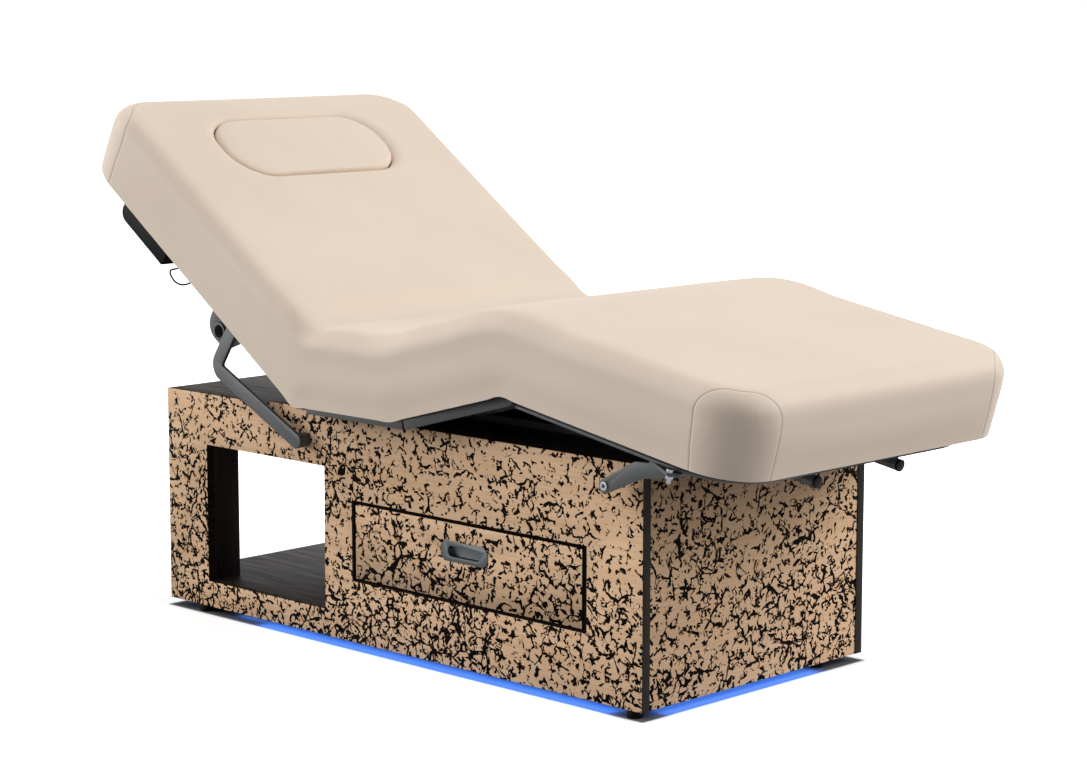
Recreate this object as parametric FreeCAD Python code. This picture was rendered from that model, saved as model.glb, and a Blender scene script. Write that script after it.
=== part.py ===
import FreeCAD, Part
import math
import os

# Spa bed: a four-section padded top on a storage cabinet.
# Working frame: +X towards the foot end, +Z up, x = 0 at the cabinet's foot end face,
# y = 0 on the centre line and z = 0 on the floor. The near side is -Y.
# The finished pieces are then moved so that the origin lies under the middle of the whole box.

Vec = FreeCAD.Vector
origin = Vec(0, 0, 0)
along_x = Vec(1, 0, 0)
along_y = Vec(0, 1, 0)
along_z = Vec(0, 0, 1)

# general clearances
clear = 0.3
overrun = 400.0
small_overrun = 5.0
shortest_edge = 0.01

# cabinet
cabinet_length = 1292.0
cabinet_width = 610.0
cabinet_height = 430.7
board = 19.0
band = 1.0
foot_panel_recess = 1.5
cubby_from_head = 122.0
cubby_length = 353.0
cubby_base = 51.6
cubby_height = 277.0
post_depth = 62.0
hump_from_foot = 895.0
hump_length = 80.0
hump_height = 5.0
hump_radius = 4.0

# drawer
drawer_from_foot = 137.0
drawer_length = 597.0
drawer_base = 121.0
drawer_height = 149.0
drawer_gap = 3.0
drawer_depth = 230.0
drawer_wall = 12.0
drawer_bottom = 6.0
drawer_box_drop = 26.0
runner_width = 12.7
runner_height = 45.0
runner_wall = 3.0
bay_side_depth = 241.0

# flush pull in the drawer front
pull_length = 121.0
pull_height = 38.0
pull_plate = 1.5
pull_corner = 10.0
cup_length = 84.0
cup_height = 20.0
cup_depth = 12.0
cup_wall = 1.5
pull_height_share = 0.37

# levelling feet
foot_height = 15.1
foot_radius = 14.0
foot_neck_radius = 11.0
foot_pad = 9.0
stem_radius = 4.0
stem_length = 16.0
foot_from_head = 96.0
foot_from_end = 31.5
foot_near_inset = 16.0
foot_far_inset = 97.0

# light strips under the cabinet
led_width = 18.0
led_height = 5.0
led_wall = 1.5
led_side_inset = 12.0
led_side_from_foot = 70.0
led_side_length = 1040.0
led_end_inset = 36.0
led_end_from_near = 46.0
led_end_length = 420.0
diffuser_height = 2.5
diffuser_clear = 0.2

# control unit and its inlet
controls_length = 240.0
controls_width = 120.0
controls_height = 45.0
controls_from_foot = 358.0
controls_from_far = 60.0
inlet_width = 48.0
inlet_height = 28.0
inlet_plate = 2.0
inlet_socket_width = 28.0
inlet_socket_height = 20.0
inlet_socket_depth = 14.0
inlet_wall = 2.0
inlet_from_foot = 480.0
inlet_up = 70.0

# lifting columns
column = 70.0
column_wall = 3.0
column_flange = 84.0
column_flange_height = 6.0
column_play = 0.5
column_below_top = 6.0
inner_column_up = 26.0
column_head_from_foot = 755.0
column_foot_from_foot = 70.0

# bed sections: lengths along the underside, and angles in the photographed pose
top_gap = 21.5
seat_setback = 547.2
seat_length = 267.3
thigh_length = 292.9
leg_length = 530.0
back_length = 766.7
back_angle = 35.1
thigh_angle = 15.1
leg_angle = 9.9
back_raise_more = 25.0
thigh_raise_more = 10.0

# cushions
cushion_thickness = 151.0
cushion_overhang = 79.7
cushion_flare = 10.9
cushion_edge_radius = 45.0
cushion_corner_radius = 90.0
least_radius_share = 0.4
cushion_crown = 5.0
crown_run = 180.0
edge_steps = 5
crown_shares = (0.35, 1.0)
end_gap = 0.5
face_margin_angle = 0.5
ply = 12.0
ply_inset = 22.0
ply_bend_gap = 18.0
ply_corner_radius = 70.0

# frame rails and strips under the cushions
rail_setback = 32.7
rail_width = 20.0
rail_height = 17.5
rail_bend_gap = 1.0
rail_knee_gap = 4.0
rail_knee_radius = 12.0
leg_rail_height = 22.0
leg_rail_knee_gap = 9.0
leg_rail_end_inset = 30.0
leg_rail_radius = 120.0
back_rail_height = 20.0
back_rail_end_inset = 50.0
back_rail_radius = 48.0
rail_flange = 6.0
rail_groove = 3.0
rail_groove_depth = 4.0
strip_height = 4.0
strip_width = 45.0
strip_layer = 6.0
seat_strip_shares = (0.3, 0.7)
thigh_strip_shares = (0.3, 0.7)
leg_strip_shares = (0.188, 0.63, 0.74)
back_strip_shares = (0.132, 0.495)
subframe_y = 150.0
subframe_width = 30.0
subframe_lift = 0.8
subframe_plate_height = 10.0
subframe_plate_length = 94.0
subframe_foot_reach = 45.0
thigh_stringer_y = 205.0
thigh_stringer_width = 6.0
thigh_stringer_start = 40.0

# leaf hinges
knuckle_radius = 5.5
pin_radius = 3.0
pin_play = 0.05
leaf_length = 42.0
knuckle_width = 16.0
hinge_side_gap = 11.0
hinge_relief = 1.5

# head pillow that fills the face hole
plug_from_head = 184.7
plug_length = 181.0
plug_width = 420.0
plug_corner_radius = 62.0
plug_rise = 1.0
plug_edge_radius = 16.0
plug_play = 1.0
plug_foot_round = 6.0
plug_crown_run = 40.0
breath_length = 110.0
breath_width = 160.0
breath_radius = 40.0

# black control box under the back, and its short lead
case_from_head = 255.7
case_length = 163.0
case_width = 120.0
case_height = 61.0
case_inset = 5.0
case_head_round = 22.0
case_foot_round = 4.0
lead_radius = 1.7
lead_inset = 13.0
lead_route = (
    (0.0, 40.0), (26.0, 38.0), (38.0, 60.0), (8.0, 86.0),
    (46.0, 95.0), (84.0, 62.0), (98.0, 20.0),
)
lead_bend_share = 0.45

# side arms on the back section
boss_gap = 1.0
boss_length = 20.0
boss_radius = 14.0
boss_chamfer = 1.5
lug_thickness = 7.0
lug_head = 338.0
lug_outer = 333.0
lug_low = 93.6
lug_head_radius = 34.0
lug_foot = 212.0
lug_foot_radius = 13.0
lug_cover = 4.0
arm_thickness = 8.0
arm_width = 29.0
arm_root = (263.5, 40.0)
arm_bend = (261.4, 134.2)
arm_end = (-1.7, 94.0)
arm_bend_radius = 4.0
ring_at = (294.4, 70.6)
ring_radius = 17.0
ring_bore = 13.0
ring_proud = 4.0

# foot levers under the leg section
lever_end = (230.9, 96.5)
lever_end_radius = 12.2
lever_knee = (299.0, 47.5)
lever_knee_half = 15.5
lever_tip = (392.0, 32.0)
lever_inset = 7.0
lever_round = 14.0
lever_screw_radius = 8.0
lever_screw_height = 3.0
lever_socket_radius = 3.5
tongue_start = 322.0
tongue_end = 400.0
tongue_height = 6.0
tongue_outset = 18.0
tongue_tip_outset = 4.0
bolt_from_knee = 384.0
bolt_outset = 11.0
bolt_radius = 4.0
bolt_head_radius = 6.5
bolt_head_height = 6.0
bolt_nut_radius = 6.5
bolt_nut_height = 6.0
bolt_length = 20.0

# accessory tubes under the foot end
tube_y = 115.0
tube_drop = 37.5
tube_radius = 10.5
tube_bore = 8.5
tube_from_end = 240.0
tube_end_inset = 33.0
tube_cap_radius = 11.0
tube_cap_height = 5.0
tube_cap_plug = 14.0
hanger_length = 24.0
hanger_width = 10.0
hanger_from_end = 6.0

pieces = {}


def block(x0, x1, y0, y1, z0, z1):
    return Part.makeBox(x1 - x0, y1 - y0, z1 - z0, Vec(x0, y0, z0))


def rod(radius, length, start, direction):
    return Part.makeCylinder(radius, length, start, direction)


def rounded_wire(corners):
    """A closed wire through (point, radius) corners, each with a tangent arc where it has a radius."""
    edges = []
    joins = []
    count = len(corners)
    for i, (point, radius) in enumerate(corners):
        before = (corners[i - 1][0] - point).normalize()
        after = (corners[(i + 1) % count][0] - point).normalize()
        if radius <= 0:
            joins.append((point, None, point))
            continue
        half = before.getAngle(after) / 2
        reach = radius / math.tan(half)
        middle = (before + after).normalize()
        centre = point + middle * (radius / math.sin(half))
        joins.append((point + before * reach, centre - middle * radius, point + after * reach))
    for i, (start, middle, end) in enumerate(joins):
        if middle is not None:
            edges.append(Part.Arc(start, middle, end).toShape())
        following = joins[(i + 1) % count][0]
        if (following - end).Length > shortest_edge:
            edges.append(Part.LineSegment(end, following).toShape())
    return Part.Wire(edges)


def plate_xz(corners, y0, y1):
    """A plate from an outline of (x, z, radius), standing between y0 and y1."""
    wire = rounded_wire([(Vec(x, y0, z), radius) for x, z, radius in corners])
    return Part.Face(wire).extrude(Vec(0, y1 - y0, 0))


def plate_xy(corners, z0, z1):
    """A plate from an outline of (x, y, radius), lying between z0 and z1."""
    wire = rounded_wire([(Vec(x, y, z0), radius) for x, y, radius in corners])
    return Part.Face(wire).extrude(Vec(0, 0, z1 - z0))


def bar_outline(points, width, inner_radius):
    """The outline, as (x, z, radius), of a flat bar of even width along a bent line of three points."""
    a, b, c = [Vec(x, 0, z) for x, z in points]
    first = (b - a).normalize()
    second = (c - b).normalize()
    half = width / 2
    left_first = Vec(-first.z, 0, first.x)
    left_second = Vec(-second.z, 0, second.x)
    mitre = (left_first + left_second).normalize()
    mitre = mitre * (half / math.cos(left_first.getAngle(left_second) / 2))
    turns_left = first.x * second.z - first.z * second.x > 0
    outer_radius = inner_radius + width
    left_radius = inner_radius if turns_left else outer_radius
    right_radius = outer_radius if turns_left else inner_radius
    end_radius = half - clear
    tip = c + second * half
    return [
        (a.x + left_first.x * half, a.z + left_first.z * half, 0),
        (b.x + mitre.x, b.z + mitre.z, left_radius),
        (tip.x + left_second.x * half, tip.z + left_second.z * half, end_radius),
        (tip.x - left_second.x * half, tip.z - left_second.z * half, end_radius),
        (b.x - mitre.x, b.z - mitre.z, right_radius),
        (a.x - left_first.x * half, a.z - left_first.z * half, 0),
    ]


def far(shape):
    """The twin on the far side."""
    return shape.mirror(origin, along_y)


def both(shape):
    return Part.makeCompound([shape, far(shape)])


def group(shapes):
    return Part.makeCompound(shapes)


def head_turned(shape):
    """A shape drawn towards +X, turned to run towards the head."""
    return shape.mirror(origin, along_x)


def add(name, shape, placement=None):
    """Keep a piece under its node's name, moved from its section's frame to the working frame."""
    if placement is not None:
        shape = shape.transformed(placement.toMatrix())
    pieces[name] = shape


# heights and places that follow from the sizes above
half_width = cabinet_width / 2
inside = half_width - board
cushion_half_width = half_width + cushion_overhang
floor_z = foot_height
cabinet_top = foot_height + cabinet_height
head_x = -cabinet_length
bed_z = cabinet_top + top_gap
inside_top = cabinet_top - board
inside_floor = floor_z + board
cubby_head = head_x + cubby_from_head
cubby_foot = cubby_head + cubby_length
cubby_low = floor_z + cubby_base
cubby_high = cubby_low + cubby_height
drawer_foot = -drawer_from_foot
drawer_head = drawer_foot - drawer_length
drawer_low = floor_z + drawer_base
drawer_high = drawer_low + drawer_height

thigh_hinge_x = -seat_setback
back_hinge_x = thigh_hinge_x - seat_length
seat_place = FreeCAD.Placement(Vec(back_hinge_x, 0, bed_z), FreeCAD.Rotation())
back_place = FreeCAD.Placement(Vec(back_hinge_x, 0, bed_z), FreeCAD.Rotation(along_y, back_angle))
thigh_place = FreeCAD.Placement(Vec(thigh_hinge_x, 0, bed_z), FreeCAD.Rotation(along_y, -thigh_angle))
knee_point = thigh_place.multVec(Vec(thigh_length, 0, 0))
leg_place = FreeCAD.Placement(knee_point, FreeCAD.Rotation(along_y, leg_angle))
knee_angle = thigh_angle + leg_angle
knee_ratio = knee_angle / thigh_angle
rail_face = cushion_half_width - rail_setback
boss_inner_y = half_width + boss_gap
arm_inner_y = boss_inner_y + boss_length
lug_inner_y = arm_inner_y - lug_thickness
back_rail_face = arm_inner_y + lug_cover
hinge_y = back_rail_face - rail_width - hinge_side_gap - knuckle_width * 3 / 2
plug_from_hinge = back_length - plug_from_head
case_from_hinge = back_length - case_from_head
case_face = back_rail_face - case_inset
lead_y = case_face - lead_inset
bolt_y = rail_face + bolt_outset
tube_start = leg_length - tube_from_end
tube_end = leg_length - tube_end_inset
back_face_angle = (back_angle + back_raise_more) / 2 + face_margin_angle
thigh_face_angle = (thigh_angle + thigh_raise_more) / 2 + face_margin_angle


def make_cabinet():
    """The laminated carcass, its storage cubby at the head end and its lifting bay."""
    panel = block(head_x + band, -band, -half_width, -inside, floor_z, cabinet_top)
    hump_foot = -hump_from_foot
    hump_head = hump_foot - hump_length
    hump_top = cabinet_top + hump_height
    hump = plate_xz([
        (hump_head, cabinet_top - hump_height, 0),
        (hump_foot, cabinet_top - hump_height, 0),
        (hump_foot, hump_top, hump_radius),
        (hump_head, hump_top, hump_radius),
    ], -half_width, -inside)
    panel = panel.fuse(hump).removeSplitter()
    cubby_cut = block(cubby_head, cubby_foot, -half_width - small_overrun, -inside + small_overrun,
                      cubby_low, cubby_high)
    panel = panel.cut(cubby_cut)
    add("side_panel_far", far(panel))
    drawer_cut = block(drawer_head, drawer_foot, -half_width - small_overrun, -inside + small_overrun,
                       drawer_low, drawer_high)
    add("side_panel_near", panel.cut(drawer_cut))

    bands = []
    for x in (head_x, -band):
        bands.append(block(x, x + band, -half_width, -inside, floor_z, cabinet_top))
    add("edge_bands", group(bands + [far(b) for b in bands]))

    add("foot_end_panel", block(-board - foot_panel_recess, -foot_panel_recess, -inside, inside,
                                floor_z, cabinet_top))
    carcass_foot = -board - foot_panel_recess
    top = block(head_x, carcass_foot, -inside, inside, inside_top, cabinet_top)
    hole = column / 2 + column_play
    for x in (-column_head_from_foot, -column_foot_from_foot):
        top = top.cut(block(x - hole, x + hole, -hole, hole, inside_top - small_overrun,
                            cabinet_top + small_overrun))
    add("top_panel", top)
    stems = group([rod(stem_radius, stem_length, Vec(x, y, floor_z), along_z) for x, y in foot_places()])
    bottom = block(head_x, carcass_foot, -inside, inside, floor_z, inside_floor)
    add("bottom_panel", bottom.cut(stems))
    for name in ("side_panel_near", "side_panel_far"):
        pieces[name] = pieces[name].cut(stems)

    floor_board = block(head_x, cubby_foot, -inside, inside, cubby_low - board, cubby_low)
    ceiling = block(head_x, cubby_foot, -inside, inside, cubby_high, cubby_high + board)
    add("cubby_boards", group([floor_board, ceiling]))
    add("cubby_partition", block(cubby_foot, cubby_foot + board, -inside, inside, inside_floor, inside_top))
    post = block(head_x, cubby_head, -inside, -inside + post_depth, cubby_low, cubby_high)
    add("corner_posts", both(post))
    low_rail = block(head_x, head_x + board, -inside, inside, inside_floor, cubby_low - board)
    high_rail = block(head_x, head_x + board, -inside, inside, cubby_high + board, inside_top)
    add("head_end_rails", group([low_rail, high_rail]))

    bay_inner = -inside + bay_side_depth
    sides = []
    for x in (drawer_head - board, drawer_foot):
        sides.append(block(x, x + board, -inside, bay_inner, inside_floor, inside_top))
    add("drawer_bay_sides", group(sides))


def foot_places():
    near = -half_width + foot_near_inset
    away = half_width - foot_far_inset
    return [(x, y) for x in (head_x + foot_from_head, -foot_from_end) for y in (near, away)]


def make_feet():
    """Round levelling feet: a pad, a neck and a stem screwed into the bottom panel."""
    feet = []
    for x, y in foot_places():
        pad = rod(foot_radius, foot_pad, Vec(x, y, 0), along_z)
        neck_height = foot_height - foot_pad
        neck = Part.makeCone(foot_radius, foot_neck_radius, neck_height, Vec(x, y, foot_pad), along_z)
        stem = rod(stem_radius, stem_length, Vec(x, y, foot_height), along_z)
        feet.append(pad.fuse(neck).fuse(stem).removeSplitter())
    add("levelling_feet", group(feet))


def light_strip(length):
    """One channel and its diffuser along +X from the origin, hanging below z = 0."""
    half = led_width / 2
    body = block(0, length, -half, half, -led_height, 0)
    slot = block(-small_overrun, length + small_overrun, -half + led_wall, half - led_wall,
                 -led_height - small_overrun, -led_wall)
    inner = half - led_wall - diffuser_clear
    cover = block(0, length, -inner, inner, -led_wall - diffuser_height, -led_wall)
    return body.cut(slot), cover


def make_lights():
    """Aluminium channels round the underside of the bottom panel, each closed below by a diffuser."""
    side_start = -led_side_from_foot - led_side_length
    side_y = inside - led_side_inset
    end_start = -inside + led_end_from_near
    lengthwise = FreeCAD.Rotation()
    crosswise = FreeCAD.Rotation(along_x, along_y)
    strips = [
        (led_side_length, Vec(side_start, -side_y, floor_z), lengthwise),
        (led_side_length, Vec(side_start, side_y, floor_z), lengthwise),
        (led_end_length, Vec(-led_end_inset, end_start, floor_z), crosswise),
        (led_end_length, Vec(head_x + led_end_inset, end_start, floor_z), crosswise),
    ]
    channels = []
    covers = []
    for length, start, turn in strips:
        matrix = FreeCAD.Placement(start, turn).toMatrix()
        channel, cover = light_strip(length)
        channels.append(channel.transformed(matrix))
        covers.append(cover.transformed(matrix))
    add("led_channels", group(channels))
    add("led_diffusers", group(covers))


def make_power():
    """The control unit on the bottom panel and the mains inlet in the far side panel."""
    foot_side = -controls_from_foot
    far_side = inside - controls_from_far
    add("control_unit", block(foot_side - controls_length, foot_side, far_side - controls_width, far_side,
                              inside_floor, inside_floor + controls_height))
    x = -inlet_from_foot
    z = floor_z + inlet_up
    plate = block(x - inlet_width / 2, x + inlet_width / 2, half_width, half_width + inlet_plate,
                  z - inlet_height / 2, z + inlet_height / 2)
    shell = block(x - inlet_socket_width / 2, x + inlet_socket_width / 2,
                  half_width - inlet_socket_depth, half_width,
                  z - inlet_socket_height / 2, z + inlet_socket_height / 2)
    mouth = block(x - inlet_socket_width / 2 + inlet_wall, x + inlet_socket_width / 2 - inlet_wall,
                  half_width - inlet_socket_depth + inlet_wall, half_width + inlet_plate + small_overrun,
                  z - inlet_socket_height / 2 + inlet_wall, z + inlet_socket_height / 2 - inlet_wall)
    add("mains_inlet", plate.fuse(shell).cut(mouth).removeSplitter())
    pieces["side_panel_far"] = pieces["side_panel_far"].cut(shell)


def make_drawer():
    """The inset drawer with its flush pull, running on a pair of side slides."""
    front_face = -half_width
    front_low = drawer_low + drawer_gap
    front_high = drawer_high - drawer_gap
    front = block(drawer_head + drawer_gap, drawer_foot - drawer_gap, front_face, -inside,
                  front_low, front_high)
    middle_x = (drawer_head + drawer_foot) / 2
    middle_z = drawer_high - drawer_height * pull_height_share
    outer_length = cup_length + 2 * cup_wall
    outer_height = cup_height + 2 * cup_wall
    cup_body = pull_blank(middle_x, middle_z, outer_length, outer_height, front_face, front_face + cup_depth)
    cup_space = pull_blank(middle_x, middle_z, cup_length, cup_height,
                           front_face - pull_plate - small_overrun, front_face + cup_depth - cup_wall)
    face_plate = pull_face(middle_x, middle_z, front_face - pull_plate, front_face)
    add("drawer_front", front.cut(cup_body))
    add("drawer_pull", face_plate.fuse(cup_body).cut(cup_space).removeSplitter())

    box_head = drawer_head + runner_width
    box_foot = drawer_foot - runner_width
    box_low = front_low + drawer_bottom
    box_high = front_high - drawer_box_drop
    inner_y = -inside + drawer_depth
    box = block(box_head, box_foot, -inside, inner_y, box_low, box_high)
    space = block(box_head + drawer_wall, box_foot - drawer_wall,
                  -inside + drawer_wall, inner_y - drawer_wall,
                  box_low + drawer_bottom, box_high + small_overrun)
    add("drawer_box", box.cut(space))

    slide_low = (box_low + box_high - runner_height) / 2
    slide_high = slide_low + runner_height
    thick = (runner_width - clear) / 2
    fixed = []
    moving = []
    for wall, box_side, way in ((drawer_head, box_head, 1), (drawer_foot, box_foot, -1)):
        fixed.append(channel_bar(wall, way * thick, -inside, inner_y, slide_low, slide_high))
        moving.append(channel_bar(box_side, -way * thick, -inside, inner_y,
                                  slide_low + runner_wall, slide_high - runner_wall))
    add("drawer_runner_channels", group(fixed))
    add("drawer_slides", group(moving))


def pull_face(x, z, y0, y1):
    """The pull's face plate, a long rectangle with its corners cut off."""
    end = pull_length / 2
    side = pull_height / 2
    run = end - pull_corner
    low = side - pull_corner
    return plate_xz([
        (x - run, z - side, 0), (x + run, z - side, 0),
        (x + end, z - low, 0), (x + end, z + low, 0),
        (x + run, z + side, 0), (x - run, z + side, 0),
        (x - end, z + low, 0), (x - end, z - low, 0),
    ], y0, y1)


def pull_blank(x, z, length, height, y0, y1):
    """A long plate with rounded ends, for the pull's cup and the space in it."""
    radius = height / 2 - clear
    return plate_xz([
        (x - length / 2, z - height / 2, radius),
        (x + length / 2, z - height / 2, radius),
        (x + length / 2, z + height / 2, radius),
        (x - length / 2, z + height / 2, radius),
    ], y0, y1)


def channel_bar(x, thickness, y0, y1, z0, z1):
    """A flat slide bar from the face at x, as thick as given towards either side."""
    low, high = min(x, x + thickness), max(x, x + thickness)
    return block(low, high, y0, y1, z0, z1)


def square_tube(x, size, wall, z0, z1):
    tube = block(x - size / 2, x + size / 2, -size / 2, size / 2, z0, z1)
    inner = size / 2 - wall
    return tube.cut(block(x - inner, x + inner, -inner, inner, z0 - small_overrun, z1 + small_overrun))


def make_lift():
    """Two telescopic columns and the subframe that carries the whole padded top."""
    outer = []
    inner = []
    subframe_low = cabinet_top + subframe_lift
    inner_size = column - 2 * column_wall - 2 * column_play
    for x in (-column_head_from_foot, -column_foot_from_foot):
        tube = square_tube(x, column, column_wall, inside_floor, cabinet_top - column_below_top)
        flange = square_tube(x, column_flange, (column_flange - column) / 2 + column_wall,
                             inside_floor, inside_floor + column_flange_height)
        outer.append(tube.fuse(flange).removeSplitter())
        inner.append(square_tube(x, inner_size, column_wall, inside_floor + inner_column_up, subframe_low))
    add("lift_outer_columns", group(outer))
    add("lift_inner_columns", group(inner))

    rail_low = -top_gap + subframe_lift
    rail_head = -column_head_from_foot - back_hinge_x - subframe_plate_length / 2
    rail_foot = seat_length + seat_setback - column_foot_from_foot + subframe_foot_reach
    rail = block(rail_head, rail_foot, -subframe_y - subframe_width / 2, -subframe_y + subframe_width / 2,
                 rail_low, -strip_layer)
    add("subframe_rails", both(rail), seat_place)
    plates = []
    for x in (-column_head_from_foot, -column_foot_from_foot):
        plate_head = x - back_hinge_x - subframe_plate_length / 2
        plates.append(block(plate_head, plate_head + subframe_plate_length,
                            -subframe_y + subframe_width / 2, subframe_y - subframe_width / 2,
                            rail_low, rail_low + subframe_plate_height))
    add("subframe_plates", group(plates), seat_place)


def pad_levels(flare, height, crown, edge_radius, run):
    """How far a pad's outline stands out from its lower edge, and at what height, from bottom to top."""
    straight = height - crown - edge_radius
    levels = [(0, 0), (flare / 2, straight / 2), (flare, straight)]
    for step in range(1, edge_steps + 1):
        turn = math.pi / 2 * step / edge_steps
        levels.append((flare - edge_radius * (1 - math.cos(turn)), straight + edge_radius * math.sin(turn)))
    for share in crown_shares:
        levels.append((flare - edge_radius - run * share, height - crown * (1 - share) * (1 - share)))
    return levels


def cushion_blank(start, end, rounded):
    """A crowned cushion from x = start to x = end, with round corners at the far end if asked."""
    wires = []
    levels = pad_levels(cushion_flare, cushion_thickness, cushion_crown, cushion_edge_radius, crown_run)
    for spread, height in levels:
        half = cushion_half_width + spread
        reach = end + spread if rounded else end
        least_radius = cushion_corner_radius * least_radius_share
        radius = max(cushion_corner_radius + spread, least_radius) if rounded else 0
        wires.append(rounded_wire([
            (Vec(start, -half, height), 0),
            (Vec(reach, -half, height), radius),
            (Vec(reach, half, height), radius),
            (Vec(start, half, height), 0),
        ]))
    return Part.makeLoft(wires, True, True)


def trim_end(shape, x, lean):
    """Cut away greater x than a face through (x, 0) that leans back over the kept side by lean degrees."""
    wide = cushion_half_width + overrun
    tool = block(0, overrun, -wide, wide, -overrun, overrun)
    tool.rotate(origin, along_y, -lean)
    tool.translate(Vec(x, 0, 0))
    return shape.cut(tool)


def trim_start(shape, x, lean):
    """Cut away lesser x than a face through (x, 0) that leans over the kept side by lean degrees."""
    return head_turned(trim_end(head_turned(shape), -x, lean))


def knuckle_relief(shape, x):
    """Clear the hinge knuckles whose axis crosses (x, 0)."""
    wide = cushion_half_width + overrun
    return shape.cut(rod(knuckle_radius + hinge_relief, 2 * wide, Vec(x, -wide, 0), along_y))


def ply_board(start, end, rounded):
    """The board that a cushion is upholstered on."""
    half = cushion_half_width - ply_inset
    reach = end - ply_inset if rounded else end
    radius = ply_corner_radius if rounded else 0
    return plate_xy([
        (start, -half, 0), (reach, -half, radius), (reach, half, radius), (start, half, 0),
    ], 0, ply)


def flat_strips(length, shares, height, reach):
    """Cross strips that reach the rails, screwed under the board at these shares of a clear length."""
    places = [length * share for share in shares]
    return group([block(x - strip_width / 2, x + strip_width / 2, -reach, reach, -height, 0) for x in places])


def hinge_spans(side):
    """The y of the four knuckle ends of the near (-1) or far (1) hinge."""
    low = side * hinge_y - knuckle_width * 3 / 2
    return [low + knuckle_width * i for i in range(4)]


def leaf_plate(way, y0, y1):
    low, high = sorted((0, way * leaf_length))
    return block(low, high, y0, y1, -strip_height, 0)


def knuckle(y0, y1):
    return rod(knuckle_radius, y1 - y0, Vec(0, y0, 0), along_y)


def holding_leaves(way, x):
    """The leaves with two knuckles each, which hold the pins, running towards way from x."""
    leaves = []
    for side in (-1, 1):
        y = hinge_spans(side)
        reach = knuckle_radius + hinge_relief
        leaf = leaf_plate(way, y[0], y[3]).cut(block(-reach, reach, y[1], y[2], -reach, reach))
        leaf = leaf.fuse(knuckle(y[0], y[1])).fuse(knuckle(y[2], y[3]))
        leaves.append(leaf.cut(rod(pin_radius, y[3] - y[0], Vec(0, y[0], 0), along_y)).removeSplitter())
    shape = group(leaves)
    shape.translate(Vec(x, 0, 0))
    return shape


def turning_leaves(way):
    """The leaves with one knuckle each, which turn on the pins at x = 0."""
    leaves = []
    for side in (-1, 1):
        y = hinge_spans(side)
        leaf = leaf_plate(way, y[1] + clear, y[2] - clear).fuse(knuckle(y[1] + clear, y[2] - clear))
        bore = rod(pin_radius + pin_play, y[3] - y[0], Vec(0, y[0], 0), along_y)
        leaves.append(leaf.cut(bore).removeSplitter())
    return group(leaves)


def hinge_pins(x):
    pins = []
    for side in (-1, 1):
        y = hinge_spans(side)
        pins.append(rod(pin_radius, y[3] - y[0], Vec(x, y[0], 0), along_y))
    return group(pins)


def bend_roll(angle, face_angle):
    """The upholstery in a hollow bend, drawn in the frame of the side towards the foot."""
    blank = cushion_blank(-overrun / 2, overrun / 2, False)
    half = trim_end(trim_start(blank, 0, angle / 2), 0, -face_angle)
    half = knuckle_relief(half, 0)
    other = head_turned(half)
    other.rotate(origin, along_y, angle)
    return half.fuse(other).removeSplitter()


def knee_fan():
    """The upholstery over the knee: the cushion's section swept through the knee angle."""
    blank = cushion_blank(-overrun / 2, overrun / 2, False)
    section = Part.Face(Part.Wire(blank.slice(along_x, 0)))
    wide = cushion_half_width + overrun
    section = section.cut(block(-small_overrun, small_overrun, -wide, wide, -small_overrun,
                                knuckle_radius + hinge_relief))
    return section.Faces[0].revolve(origin, along_y, knee_angle)


def grooved_layers(height):
    """The rail's section as (inset, low, high): a lip, a groove and the lower flange."""
    groove_low = -height + rail_flange
    groove_high = groove_low + rail_groove
    return [(0, -height, groove_low), (rail_groove_depth, groove_low, groove_high), (0, groove_high, 0)]


def end_rails(start, rail_end, rail_side, height, corner_radius):
    """The near and far rails with their round corners, and the straight rail across the end."""
    side_rail = None
    end_rail = None
    inner_y = rail_side - rail_width
    inner_x = rail_end - rail_width
    corner_y = rail_side - corner_radius
    for inset, low, high in grooved_layers(height):
        face = rail_side - inset
        end = rail_end - inset
        side_layer = plate_xy([
            (start, -face, 0),
            (end, -face, corner_radius - inset),
            (end, -corner_y, 0),
            (inner_x, -corner_y, 0),
            (inner_x, -inner_y, corner_radius - rail_width),
            (start, -inner_y, 0),
        ], low, high)
        end_layer = block(inner_x, end, -corner_y, corner_y, low, high)
        side_rail = side_layer if side_rail is None else side_rail.fuse(side_layer)
        end_rail = end_layer if end_rail is None else end_rail.fuse(end_layer)
    side_rail = side_rail.removeSplitter()
    return [side_rail, far(side_rail), end_rail.removeSplitter()]


def make_seat():
    """The fixed middle section, which the columns carry."""
    cushion = cushion_blank(-overrun / 2, seat_length + overrun / 2, False)
    cushion = trim_start(cushion, end_gap, back_face_angle)
    cushion = trim_end(cushion, seat_length - end_gap, thigh_face_angle)
    ply_piece = ply_board(ply_bend_gap, seat_length - ply_bend_gap, False)
    cushion = knuckle_relief(knuckle_relief(cushion, 0), seat_length).cut(ply_piece)
    add("seat_cushion", cushion, seat_place)
    add("seat_board", ply_piece, seat_place)
    rail = block(rail_bend_gap, seat_length - rail_bend_gap, -rail_face, -rail_face + rail_width,
                 -rail_height, 0)
    add("seat_rails", both(rail), seat_place)
    reach = rail_face - rail_width
    add("seat_strips", flat_strips(seat_length, seat_strip_shares, strip_layer, reach), seat_place)
    leaves = group([holding_leaves(1, 0), holding_leaves(-1, seat_length)])
    add("seat_hinge_leaves", group(leaves.Solids), seat_place)
    pins = group([hinge_pins(0), hinge_pins(seat_length)])
    add("seat_hinge_pins", group(pins.Solids), seat_place)
    add("back_roll", bend_roll(back_angle, back_face_angle), seat_place)


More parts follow.
